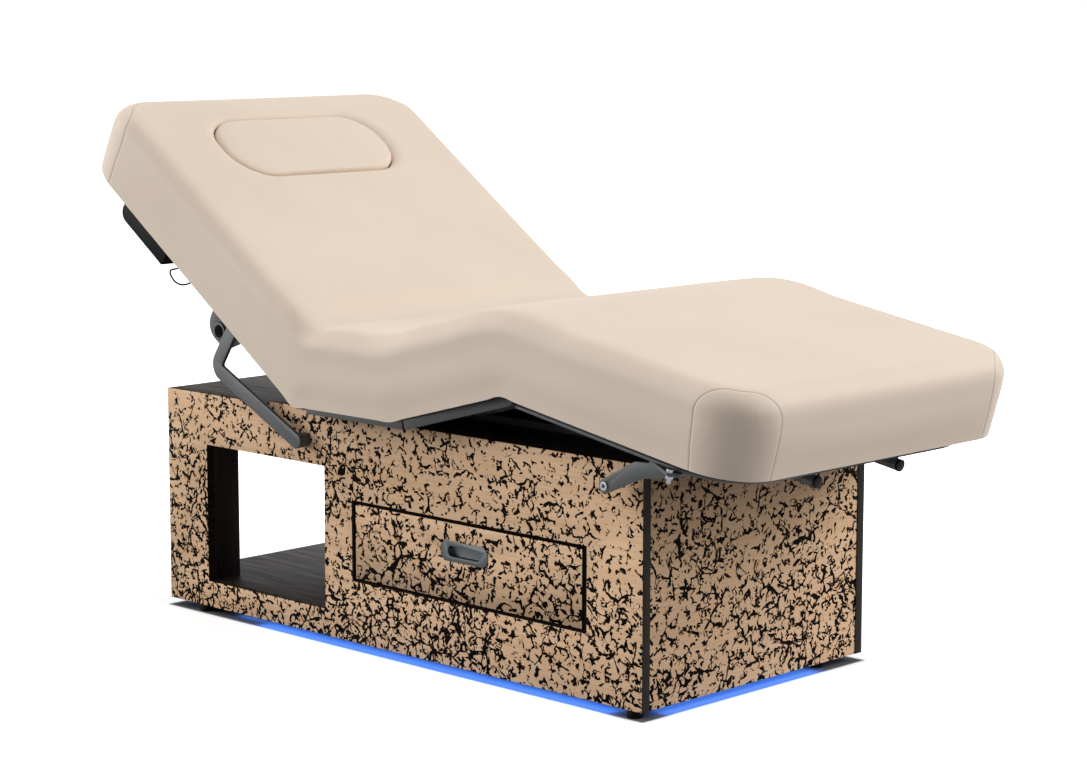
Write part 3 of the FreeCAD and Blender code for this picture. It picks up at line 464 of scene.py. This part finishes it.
def metalFinish(name, values, brushed=False):
    material, wire = startFinish(name)
    place = objectPlace(wire)
    patch = place.noise(14.0, 4.0, 0.65)
    if brushed:
        grain = place.stretched((18.0, 900.0, 900.0)).noise(1.0, 2.0, 0.6)
    else:
        grain = place.noise(values["grain"], 2.0, 0.6)
    worn = tuple(min(1.0, value * 1.35 + 0.01) for value in values["base"][:3]) + (1.0,)
    shade = (patch.ease(0.45, 0.8) * 0.25).blend(values["base"], worn)
    rough = values["roughness"] + (patch - 0.5) * 0.22 + (grain - 0.5) * 0.1
    endFinish(wire, {"Base Color": shade, "Metallic": values["metal"], "Roughness": rough,
                     "Normal": grain.bump(values["height"]), "Specular IOR Level": values["gloss"]})
    return material


plasticLook = {
    "black": {"base": colour(17, 17, 18), "rub": colour(27, 27, 28), "roughness": 0.5, "grain": 1100.0,
              "gloss": 0.05},
    "rubber": {"base": colour(14, 14, 15), "rub": colour(30, 29, 28), "roughness": 0.72, "grain": 600.0,
               "gloss": 0.06},
    "edging": {"base": colour(26, 20, 17), "rub": colour(46, 36, 30), "roughness": 0.55, "grain": 300.0,
               "gloss": 0.1},
}


def plasticFinish(name, values):
    material, wire = startFinish(name)
    place = objectPlace(wire)
    grain = place.noise(values["grain"], 2.0, 0.6)
    patch = place.noise(20.0, 4.0, 0.6)
    shade = (patch.ease(0.4, 0.8) * 0.4).blend(values["base"], values["rub"])
    endFinish(wire, {"Base Color": shade, "Roughness": values["roughness"] + (patch - 0.5) * 0.16,
                     "Normal": grain.bump(0.0001), "Specular IOR Level": values["gloss"]})
    return material


lightLook = {"colour": colour(70, 136, 255), "pale": colour(92, 158, 255), "strength": 4.5}


def lightFinish(values):
    material, wire = startFinish("blueLight")
    place = objectPlace(wire)
    dots = place.noise(60.0, 1.0)
    shade = dots.ease(0.3, 0.7).blend(values["colour"], values["pale"])
    endFinish(wire, {"Base Color": (0.1, 0.2, 0.5, 1.0), "Roughness": 0.5, "Emission Color": shade,
                     "Emission Strength": values["strength"]})
    return material


finishes = {
    "seamed": upholsteryFinish(upholsteryLook, True),
    "plain": upholsteryFinish(upholsteryLook, False),
    "laminate": laminateFinish(laminateLook),
    "darkWood": woodFinish("darkWood", woodLook["dark"]),
    "uprightWood": woodFinish("uprightWood", woodLook["upright"]),
    "carcassBoard": woodFinish("carcassBoard", woodLook["board"]),
    "birch": woodFinish("birch", woodLook["birch"]),
    "stainedPly": woodFinish("stainedPly", woodLook["ply"]),
    "greyMetal": metalFinish("greyMetal", metalLook["grey"]),
    "blackMetal": metalFinish("blackMetal", metalLook["black"]),
    "zinc": metalFinish("zinc", metalLook["zinc"]),
    "pewter": metalFinish("pewter", metalLook["pewter"], True),
    "anodised": metalFinish("anodised", metalLook["anodised"], True),
    "blackPlastic": plasticFinish("blackPlastic", plasticLook["black"]),
    "rubber": plasticFinish("rubber", plasticLook["rubber"]),
    "edging": plasticFinish("edging", plasticLook["edging"]),
    "blueLight": lightFinish(lightLook),
}

nodeFinishes = {
    "laminate": ["side_panel_near", "side_panel_far", "foot_end_panel", "drawer_front"],
    "darkWood": ["top_panel", "cubby_boards", "head_end_rails"],
    "uprightWood": ["corner_posts", "cubby_partition"],
    "carcassBoard": ["bottom_panel", "drawer_bay_sides"],
    "birch": ["drawer_box"],
    "stainedPly": ["seat_board", "thigh_board", "leg_board", "back_board"],
    "greyMetal": ["seat_rails", "thigh_rails", "leg_rails", "back_rails", "side_arms", "arm_sockets",
                  "arm_bosses", "foot_levers", "accessory_tubes"],
    "blackMetal": ["lift_outer_columns", "subframe_rails", "subframe_plates", "seat_strips",
                   "thigh_strips", "leg_strips", "back_strips", "seat_hinge_leaves",
                   "back_hinge_leaves", "thigh_hinge_leaves", "leg_hinge_leaves"],
    "zinc": ["drawer_runner_channels", "drawer_slides", "seat_hinge_pins", "knee_hinge_pins",
             "lever_bolts", "lift_inner_columns"],
    "pewter": ["drawer_pull"],
    "anodised": ["led_channels"],
    "blackPlastic": ["control_unit", "back_control_box", "mains_inlet", "tube_caps"],
    "rubber": ["levelling_feet"],
    "edging": ["edge_bands"],
    "blueLight": ["led_diffusers"],
}

for finishName, names in nodeFinishes.items():
    for name in names:
        nodes[name].data.materials.clear()
        nodes[name].data.materials.append(finishes[finishName])
print("finishes on the carried-over nodes")


# softened edges on the rigid nodes

edgeWidths = {
    0.0008: ["side_panel_near", "side_panel_far", "foot_end_panel", "drawer_front", "top_panel",
             "cubby_boards", "cubby_partition", "corner_posts", "head_end_rails", "bottom_panel",
             "drawer_bay_sides", "drawer_box"],
    0.0012: ["seat_rails", "thigh_rails", "leg_rails", "back_rails", "side_arms", "foot_levers",
             "back_control_box", "control_unit"],
    0.0005: ["arm_sockets", "arm_bosses", "accessory_tubes", "lift_outer_columns", "lift_inner_columns",
             "subframe_rails", "subframe_plates", "seat_strips", "thigh_strips", "leg_strips", "back_strips",
             "drawer_runner_channels", "drawer_slides", "drawer_pull", "tube_caps", "mains_inlet",
             "levelling_feet", "lever_bolts", "edge_bands"],
}


softening = {"joinWithin": 0.00001, "flatAngle": 1, "edgeAngle": 32, "segments": 2}


def softenEdges(piece, width):
    for polygon in piece.data.polygons:
        polygon.use_smooth = True
    weld = piece.modifiers.new("joined", "WELD")
    weld.merge_threshold = softening["joinWithin"]
    whole = piece.modifiers.new("wholeFaces", "DECIMATE")
    whole.decimate_type = "DISSOLVE"
    whole.angle_limit = math.radians(softening["flatAngle"])
    bevel = piece.modifiers.new("softened", "BEVEL")
    bevel.width = width
    bevel.segments = softening["segments"]
    bevel.limit_method = "ANGLE"
    bevel.angle_limit = math.radians(softening["edgeAngle"])
    bevel.harden_normals = True
    bevel.use_clamp_overlap = True


for width, names in edgeWidths.items():
    for name in names:
        softenEdges(nodes[name], width)
print("edges softened")


# modelling helpers

def deselectAll():
    bpy.ops.object.select_all(action="DESELECT")


def use(piece):
    deselectAll()
    piece.select_set(True)
    bpy.context.view_layer.objects.active = piece


def enterEdit(piece, kind="VERT", action="DESELECT"):
    use(piece)
    bpy.ops.object.mode_set(mode="EDIT")
    bpy.ops.mesh.select_mode(type=kind)
    bpy.ops.mesh.select_all(action=action)


def leaveEdit():
    bpy.ops.object.mode_set(mode="OBJECT")


def chooseVerts(piece, test):  # selects in edit mode every vertex that passes the test
    enterEdit(piece)
    form = bmesh.from_edit_mesh(piece.data)
    for vert in form.verts:
        vert.select = test(vert.co)
    form.select_flush_mode()
    bmesh.update_edit_mesh(piece.data)


def roundEdges(piece, test, radius, segments):  # every edge whose two ends pass the test
    enterEdit(piece, "EDGE")
    form = bmesh.from_edit_mesh(piece.data)
    for edge in form.edges:
        edge.select_set(test(edge.verts[0].co, edge.verts[1].co))
    bmesh.update_edit_mesh(piece.data)
    bpy.ops.mesh.bevel(offset=radius, segments=segments, affect="EDGES")
    leaveEdit()


def upright(first, second):
    return abs(first.z - second.z) > 0.05


def chooseFaces(piece, chosen):  # selects in edit mode the faces marked in a row of numbers
    enterEdit(piece, "FACE")
    leaveEdit()
    piece.data.polygons.foreach_set("select", chosen.astype(bool))
    bpy.ops.object.mode_set(mode="EDIT")


def subdivideWhere(piece, chosen, cuts):
    chooseFaces(piece, chosen)
    bpy.ops.mesh.subdivide(number_cuts=cuts)
    leaveEdit()


def applyAll(piece):
    use(piece)
    for modifier in list(piece.modifiers):
        bpy.ops.object.modifier_apply(modifier=modifier.name)


def settle(piece):  # the piece's place goes into its mesh
    use(piece)
    bpy.ops.object.transform_apply(location=True, rotation=True, scale=True)


def readRows(items, name):
    rows = np.empty(len(items) * 3, np.float32)
    items.foreach_get(name, rows)
    return rows.reshape(-1, 3).astype(float)


def readPoints(piece):
    return readRows(piece.data.vertices, "co")


def writePoints(piece, points):
    piece.data.vertices.foreach_set("co", points.astype(np.float32).ravel())
    piece.data.update()


def faceCentres(piece):
    return readRows(piece.data.polygons, "center")


def ease(values, low, high):
    share = np.clip((values - low) / (high - low), 0, 1)
    return share * share * (3 - 2 * share)


def pastCorner(overX, overY):  # distance past a rounded outline's inner corner, negative inside it
    outside = np.hypot(np.maximum(overX, 0), np.maximum(overY, 0))
    return outside + np.minimum(np.maximum(overX, overY), 0)


def addBlock(name, low, high):
    deselectAll()
    middle = [(a + b) / 2 for a, b in zip(low, high)]
    size = [b - a for a, b in zip(low, high)]
    bpy.ops.mesh.primitive_cube_add(size=1, location=middle, scale=size)
    piece = bpy.context.object
    piece.name = name
    settle(piece)
    return piece


def copyOf(piece, name):
    made = piece.copy()
    made.data = piece.data.copy()
    made.name = name
    bpy.context.scene.collection.objects.link(made)
    return made


def refine(piece):  # every face in four
    finer = piece.modifiers.new("finer", "SUBSURF")
    finer.levels = finer.render_levels = 1
    applyAll(piece)


def remesh(piece, voxel):  # an even mesh that still lies on the piece's own form
    form = copyOf(piece, piece.name + "Form")
    even = piece.modifiers.new("even", "REMESH")
    even.mode = "VOXEL"
    even.voxel_size = voxel
    onForm = piece.modifiers.new("onForm", "SHRINKWRAP")
    onForm.target = form
    applyAll(piece)
    bpy.data.objects.remove(form)


def evened(piece, moves, rounds):  # each point's move shared out among its neighbours, over and over
    ends = np.empty(len(piece.data.edges) * 2, np.int32)
    piece.data.edges.foreach_get("vertices", ends)
    first, second = ends.reshape(-1, 2).T
    size = len(moves)
    count = np.bincount(first, minlength=size) + np.bincount(second, minlength=size)
    for step in range(rounds):
        near = [np.bincount(first, moves[second, axis], size) + np.bincount(second, moves[first, axis], size)
                for axis in range(3)]
        moves = 0.5 * moves + 0.5 * np.stack(near, 1) / count[:, None]
    return moves


clothStuff = {"quality": 4, "mass": 0.4, "stretch": 25.0, "bend": 4.0}


def inflate(piece, held, values):  # cloth under pressure; held is 1 where it is pinned
    rest = readPoints(piece)
    group = piece.vertex_groups.new(name="held")
    for index in np.nonzero(held > 0)[0]:
        group.add([int(index)], float(held[index]), "REPLACE")
    modifier = piece.modifiers.new("cloth", "CLOTH")
    settings = modifier.settings
    settings.quality = clothStuff["quality"]
    settings.mass = clothStuff["mass"]
    settings.tension_stiffness = clothStuff["stretch"]
    settings.compression_stiffness = clothStuff["stretch"]
    settings.bending_stiffness = clothStuff["bend"]
    settings.use_pressure = True
    settings.uniform_pressure_force = values["pressure"]
    settings.vertex_group_mass = "held"
    settings.effector_weights.gravity = 0
    modifier.point_cache.frame_start = 1
    modifier.point_cache.frame_end = values["frames"]
    scene = bpy.context.scene
    for step in range(1, values["frames"] + 1):
        scene.frame_set(step)
    graph = bpy.context.evaluated_depsgraph_get()
    shaped = readPoints(piece.evaluated_get(graph))
    piece.modifiers.remove(modifier)
    piece.vertex_groups.clear()
    scene.frame_set(1)
    move = evened(piece, shaped - rest, values["evening"]) * (1 - held)[:, None]
    reach = np.linalg.norm(move, axis=1)
    share = np.minimum(1.0, values["cap"] / np.maximum(reach, 1e-9))
    writePoints(piece, rest + move * share[:, None])
    print("inflated", piece.name, "moved up to", round(float(reach.max()), 4))


# the padded top, shaped flat and then bent at its hinges

pad = {
    "back": 0.7667,
    "seat": 0.2673,
    "thigh": 0.2929,
    "leg": 0.53,
    "halfWidth": 0.3847,
    "flare": 0.0109,
    "thickness": 0.151,
    "edgeRadius": 0.036,
    "cornerRadius": 0.09,
    "crown": 0.0015,
    "crownRun": 0.18,
    "voxel": 0.009,
    "pressure": 3.0,
    "frames": 14,
    "cap": 0.002,
    "evening": 80,
    "below": 0.03,
    "boardInset": 0.022,
    "boardLift": 0.006,
    "underStep": 0.025,
    "backAngle": 35.1,
    "thighAngle": 15.1,
    "kneeAngle": 25.0,
    "bendAtTop": 0.125,
    "bendAtFoot": 0.035,
    "blendReach": 0.11,
    "hollows": [(0.0, 0.013, 0.10), (0.30, 0.009, 0.17)],  # place, lift and reach of the cloth over a fold
    "headLean": 0.008,
    "footLean": 0.008,
    "headDrop": 0.007,
    "leanBelow": 0.08,
    "leanReach": (0.18, 0.02),
    "dropReach": (0.08, 0.01),
    "heldBelow": (0.004, 0.05),
    "boardFacing": -0.7,
}

seams = {
    "halfWidth": 0.080,
    "height": 0.157,
    "radius": 0.058,
    "near": 0.008,
    "dent": 0.0006,
    "dentWidth": 0.0022,
}

backHinge = Vector((-0.236622, 0, 0.4673))
headX = -pad["back"] - pad["flare"]
footX = pad["seat"] + pad["thigh"] + pad["leg"] + pad["flare"]
wideY = pad["halfWidth"] + pad["flare"]
wideRadius = pad["cornerRadius"] + pad["flare"]
wallHeight = pad["thickness"] - pad["crown"] - pad["edgeRadius"]
rimHeight = pad["thickness"] - pad["crown"]


def insetOf(points):  # how far each point lies inside the pad's widest outline
    middle = (headX + footX) / 2
    half = (footX - headX) / 2
    overX = np.abs(points[:, 0] - middle) - (half - wideRadius)
    overY = np.abs(points[:, 1]) - (wideY - wideRadius)
    return wideRadius - pastCorner(overX, overY)


def nearEnd(x, end, reach):  # 1 close to an end of the pad, 0 away from it
    return ease(x, end - reach[0], end - reach[1])


def makePadBlank():
    low, high = -pad["below"], rimHeight
    piece = addBlock("padBlank", (headX, -wideY, low), (footX, wideY, high))
    roundEdges(piece, upright, wideRadius, 24)
    roundEdges(piece, lambda a, b: min(a.z, b.z) > high - 0.0001, pad["edgeRadius"], 16)
    flare = pad["flare"] * (wallHeight - low) / wallHeight
    shrinkX = 1 - 2 * flare / (footX - headX)
    shrinkY = 1 - flare / wideY
    chooseVerts(piece, lambda p: p.z < low + 0.0001)
    bpy.ops.transform.resize(value=(shrinkX, shrinkY, 1), center_override=((headX + footX) / 2, 0, 0))
    leaveEdit()
    remesh(piece, pad["voxel"])
    points = readPoints(piece)
    share = np.clip((insetOf(points) - pad["edgeRadius"]) / pad["crownRun"], 0, 1)
    swell = pad["crown"] * (1 - (1 - share) ** 2)
    points[:, 2] += swell * ease(points[:, 2], wallHeight, rimHeight)
    lower = 1 - ease(points[:, 2], pad["leanBelow"], rimHeight)
    points[:, 2] -= pad["headDrop"] * nearEnd(-points[:, 0], -headX, pad["dropReach"]) * (1 - lower)
    points[:, 0] -= pad["headLean"] * lower * nearEnd(-points[:, 0], -headX, pad["leanReach"])
    points[:, 0] += pad["footLean"] * lower * nearEnd(points[:, 0], footX, pad["leanReach"])
    writePoints(piece, points)
    return piece


padBlank = makePadBlank()
print("pad blank", len(padBlank.data.vertices), "points")
inflate(padBlank, 1 - ease(readPoints(padBlank)[:, 2], *pad["heldBelow"]), pad)
refine(padBlank)


def chooseFacingDown(piece, height):  # the faces below this height that look down, in edit mode
    facing = readRows(piece.data.polygons, "normal")[:, 2]
    chooseFaces(piece, (faceCentres(piece)[:, 2] < height) & (facing < pad["boardFacing"]))


def cutUnderside(piece):  # flat below, hollow where the boards lie, with lines to bend along at the hinges
    enterEdit(piece, action="SELECT")
    bpy.ops.mesh.bisect(plane_co=(0, 0, 0), plane_no=(0, 0, 1), use_fill=True, clear_inner=True)
    leaveEdit()
    chooseFacingDown(piece, 0.0001)
    bpy.ops.mesh.inset(thickness=pad["boardInset"])
    bpy.ops.transform.translate(value=(0, 0, pad["boardLift"]))
    leaveEdit()
    chooseFacingDown(piece, pad["boardLift"] + 0.0001)
    bpy.ops.mesh.hide(unselected=True)
    for hingeX in (0.0, pad["seat"], pad["seat"] + pad["thigh"]):
        for station in np.arange(-pad["bendAtTop"], pad["bendAtTop"] + 0.001, pad["underStep"]):
            bpy.ops.mesh.select_all(action="SELECT")
            bpy.ops.mesh.bisect(plane_co=(hingeX + station, 0, 0), plane_no=(1, 0, 0))
    bpy.ops.mesh.reveal(select=False)
    leaveEdit()


def seamField(points):  # signed distance to the arched seam round each outer corner
    inset = np.maximum(insetOf(points), 0)
    turn = np.arctan2(points[:, 2] - wallHeight, np.maximum(pad["edgeRadius"] - inset, 0.00001))
    rise = np.where(points[:, 2] < wallHeight, points[:, 2],
                    wallHeight + pad["edgeRadius"] * turn + np.maximum(inset - pad["edgeRadius"], 0))
    fromEnd = np.minimum(points[:, 0] - headX, footX - points[:, 0])
    fromSide = wideY - np.abs(points[:, 1])
    angle = np.arctan2(wideRadius - fromSide, wideRadius - fromEnd)
    quarter = wideRadius * math.pi / 4
    along = wideRadius * (angle - math.pi / 4)
    along = np.where(fromEnd >= wideRadius, quarter + fromEnd - wideRadius, along)
    along = np.where((fromSide >= wideRadius) & (fromSide > fromEnd),
                     -quarter - fromSide + wideRadius, along)
    overA = np.abs(along) - (seams["halfWidth"] - seams["radius"])
    overB = rise - (seams["height"] - seams["radius"])
    return pastCorner(overA, overB) - seams["radius"]


def pressSeams(piece):
    subdivideWhere(piece, np.abs(seamField(faceCentres(piece))) < seams["near"], 2)
    points = readPoints(piece)
    away = seamField(points)
    dent = seams["dent"] * np.exp(-(away / seams["dentWidth"]) ** 2)
    writePoints(piece, points - readRows(piece.data.vertices, "normal") * dent[:, None])


cutUnderside(padBlank)
pressSeams(padBlank)


# the hole for the head pillow

pillow = {
    "fromHinge": 0.588,
    "length": 0.181,
    "width": 0.430,
    "radius": 0.081,
    "base": 0.0123,
    "top": 0.1495,
    "edgeRadius": 0.008,
    "gap": 0.0026,
    "crown": 0.003,
    "voxel": 0.005,
    "pressure": 2.5,
    "frames": 12,
    "cap": 0.0015,
    "evening": 40,
    "rimDip": 0.016,
    "rimReach": 0.025,
    "finerWithin": (0.03, 0.012),
    "footRadius": 0.006,
    "crownRun": 0.08,
}


def pillowField(points):  # signed distance to the hole's outline
    radius = pillow["radius"]
    overX = np.abs(points[:, 0] + pillow["fromHinge"]) - (pillow["length"] / 2 - radius)
    overY = np.abs(points[:, 1]) - (pillow["width"] / 2 - radius)
    return pastCorner(overX, overY) - radius


def makeHoleCutter():
    halfX, halfY = pillow["length"] / 2, pillow["width"] / 2
    cutter = addBlock("holeCutter", (-pillow["fromHinge"] - halfX, -halfY, -0.05),
                      (-pillow["fromHinge"] + halfX, halfY, 0.25))
    roundEdges(cutter, upright, pillow["radius"], 16)
    return cutter


def cutPillowHole(piece):
    for reach in pillow["finerWithin"]:
        centres = faceCentres(piece)
        subdivideWhere(piece, (np.abs(pillowField(centres)) < reach) & (centres[:, 2] > wallHeight), 1)
    points = readPoints(piece)
    away = pillowField(points)
    inside = np.clip(1 - away / pillow["rimReach"], 0, 1)
    dip = pillow["rimDip"] * (1 - np.sqrt(1 - inside ** 2))
    points[:, 2] -= np.where(points[:, 2] > wallHeight, dip, 0)
    writePoints(piece, points)
    cutter = makeHoleCutter()
    hole = piece.modifiers.new("hole", "BOOLEAN")
    hole.operation = "DIFFERENCE"
    hole.solver = "EXACT"
    hole.object = cutter
    applyAll(piece)
    bpy.data.objects.remove(cutter)


cutPillowHole(padBlank)
print("seams and pillow hole shaped,", len(padBlank.data.vertices), "points")


def turned(points, hingeX, share, angle):  # about the hinge line at (hingeX, 0), by a share of the angle
    turn = np.radians(angle) * share
    x = points[:, 0] - hingeX
    z = points[:, 2].copy()
    made = points.copy()
    made[:, 0] = hingeX + x * np.cos(turn) + z * np.sin(turn)
    made[:, 2] = -x * np.sin(turn) + z * np.cos(turn)
    return made


def bend(points):  # flat pad to the photographed pose, in the row frame
    points = points.copy()
    for place, lift, width in pad["hollows"]:
        near = np.exp(-((points[:, 0] - place) / width) ** 2)
        points[:, 2] += lift * near * points[:, 2] / pad["thickness"]
    knee = pad["seat"] + pad["thigh"]
    reach = pad["bendAtFoot"] + (pad["bendAtTop"] - pad["bendAtFoot"]) * points[:, 2] / pad["thickness"]
    x = points[:, 0]
    kneeShare = ease(x, knee - reach, knee + reach)
    thighShare = ease(x, pad["seat"] - reach, pad["seat"] + reach)
    backShare = ease(-x, -reach, reach)
    made = turned(points, knee, kneeShare, pad["kneeAngle"])
    made = turned(made, pad["seat"], thighShare, -pad["thighAngle"])
    made = turned(made, 0.0, backShare, pad["backAngle"])
    return made + np.array(backHinge)


def cutBetween(piece, start, end):  # keeps the stretch between two flat stations, closed at its cuts
    for station, outer in ((start, False), (end, True)):
        if station is not None:
            enterEdit(piece, action="SELECT")
            bpy.ops.mesh.bisect(plane_co=(station, 0, 0), plane_no=(1, 0, 0), use_fill=True,
                                clear_inner=not outer, clear_outer=outer)
            leaveEdit()


midSeat = pad["seat"] * 0.5
midThigh = pad["seat"] + pad["thigh"] * 0.5
stretches = {  # from, to, and the nodes that the stretch stands for
    "backUpholstery": (None, midSeat, ["back_cushion", "back_roll"]),
    "seatUpholstery": (midSeat, midThigh, ["seat_cushion", "seat_roll"]),
    "legUpholstery": (midThigh, None, ["thigh_cushion", "leg_cushion", "knee_roll"]),
}


def storeSeams(piece):
    away = np.clip(seamField(readPoints(piece)), -0.05, 0.05)
    field = piece.data.attributes.new("seam", "FLOAT", "POINT")
    field.data.foreach_set("value", away.astype(np.float32))


def finishCloth(piece, finish):
    piece.data.materials.clear()
    piece.data.materials.append(finishes[finish])
    use(piece)
    bpy.ops.object.shade_smooth_by_angle(angle=math.radians(55))


upholstery = {}
for name, (start, end, stoodFor) in stretches.items():
    piece = copyOf(padBlank, name)
    cutBetween(piece, start, end)
    storeSeams(piece)
    writePoints(piece, bend(readPoints(piece)))
    finishCloth(piece, "seamed")
    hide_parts(*stoodFor)
    upholstery[name] = piece
    print(name, len(piece.data.polygons), "faces")
bpy.data.objects.remove(padBlank)


def padPoint(x, z):  # one point of the flat pad's middle line, in the row frame at rest
    return Vector(bend(np.array([[x, 0.0, z]]))[0])


def blendAcross(piece, hingeX):
    reach = pad["blendReach"]
    padPoint(hingeX - reach, 0.0)
    padPoint(hingeX + reach, 0.0)
    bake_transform(piece)


blendAcross(upholstery["backUpholstery"], 0.0)
blendAcross(upholstery["seatUpholstery"], pad["seat"])
blendAcross(upholstery["legUpholstery"], pad["seat"] + pad["thigh"])


def makePillow():
    halfX = pillow["length"] / 2 - pillow["gap"]
    halfY = pillow["width"] / 2 - pillow["gap"]
    piece = addBlock("headPillow", (-pillow["fromHinge"] - halfX, -halfY, pillow["base"]),
                     (-pillow["fromHinge"] + halfX, halfY, pillow["top"]))
    roundEdges(piece, upright, pillow["radius"] - pillow["gap"], 14)
    roundEdges(piece, lambda a, b: min(a.z, b.z) > pillow["top"] - 0.0001, pillow["edgeRadius"], 8)
    roundEdges(piece, lambda a, b: max(a.z, b.z) < pillow["base"] + 0.0001, pillow["footRadius"], 3)
    remesh(piece, pillow["voxel"])
    points = readPoints(piece)
    inside = np.clip(-pillowField(points) / pillow["crownRun"], 0, 1)
    swell = pillow["crown"] * (1 - (1 - inside) ** 2)
    points[:, 2] += swell * ease(points[:, 2], pillow["top"] - 0.02, pillow["top"])
    writePoints(piece, points)
    inflate(piece, 1 - ease(points[:, 2], pillow["top"] - 0.03, pillow["top"] - 0.01), pillow)
    points = readPoints(piece)
    over = np.maximum(pillowField(points) + pillow["gap"] * 0.8, 0)
    share = 1 - over / 0.2
    points[:, 0] = -pillow["fromHinge"] + (points[:, 0] + pillow["fromHinge"]) * share
    points[:, 1] *= share
    writePoints(piece, points)
    refine(piece)
    writePoints(piece, bend(readPoints(piece)))
    finishCloth(piece, "plain")
    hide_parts("face_plug")
    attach(piece, "head_pillow")
    print("head pillow", len(piece.data.polygons), "faces")


makePillow()


# the short lead under the back

lead = {
    "diameter": 0.0038,
    "side": -0.312,
    "route": [(0.511, 0.040), (0.485, 0.038), (0.473, 0.060), (0.503, 0.086),
              (0.465, 0.095), (0.427, 0.062), (0.413, 0.020)],  # distance from the hinge, drop
    "length": 0.199,
}


def backPoint(distance, y, height):  # a point of the tilted back, by its distance from the hinge
    turn = math.radians(pad["backAngle"])
    x = -distance * math.cos(turn) + height * math.sin(turn)
    z = distance * math.sin(turn) + height * math.cos(turn)
    return backHinge + Vector((x, y, z))


def makeLead():
    points = [backPoint(away, lead["side"], -drop) for away, drop in lead["route"]]
    line = bpy.data.curves.new("controlBoxLead", "CURVE")
    line.dimensions = "3D"
    line.bevel_depth = lead["diameter"] / 2
    line.bevel_resolution = 4
    line.use_fill_caps = True
    spline = line.splines.new("NURBS")
    spline.points.add(len(points) - 1)
    for point, place in zip(spline.points, points):
        point.co = (*place, 1.0)
    spline.order_u = 3
    spline.use_endpoint_u = True
    spline.resolution_u = 12
    piece = bpy.data.objects.new("controlBoxLead", line)
    bpy.context.scene.collection.objects.link(piece)
    line.materials.append(finishes["rubber"])
    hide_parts("control_box_lead")
    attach(piece, "back")


makeLead()
print("lead laid")
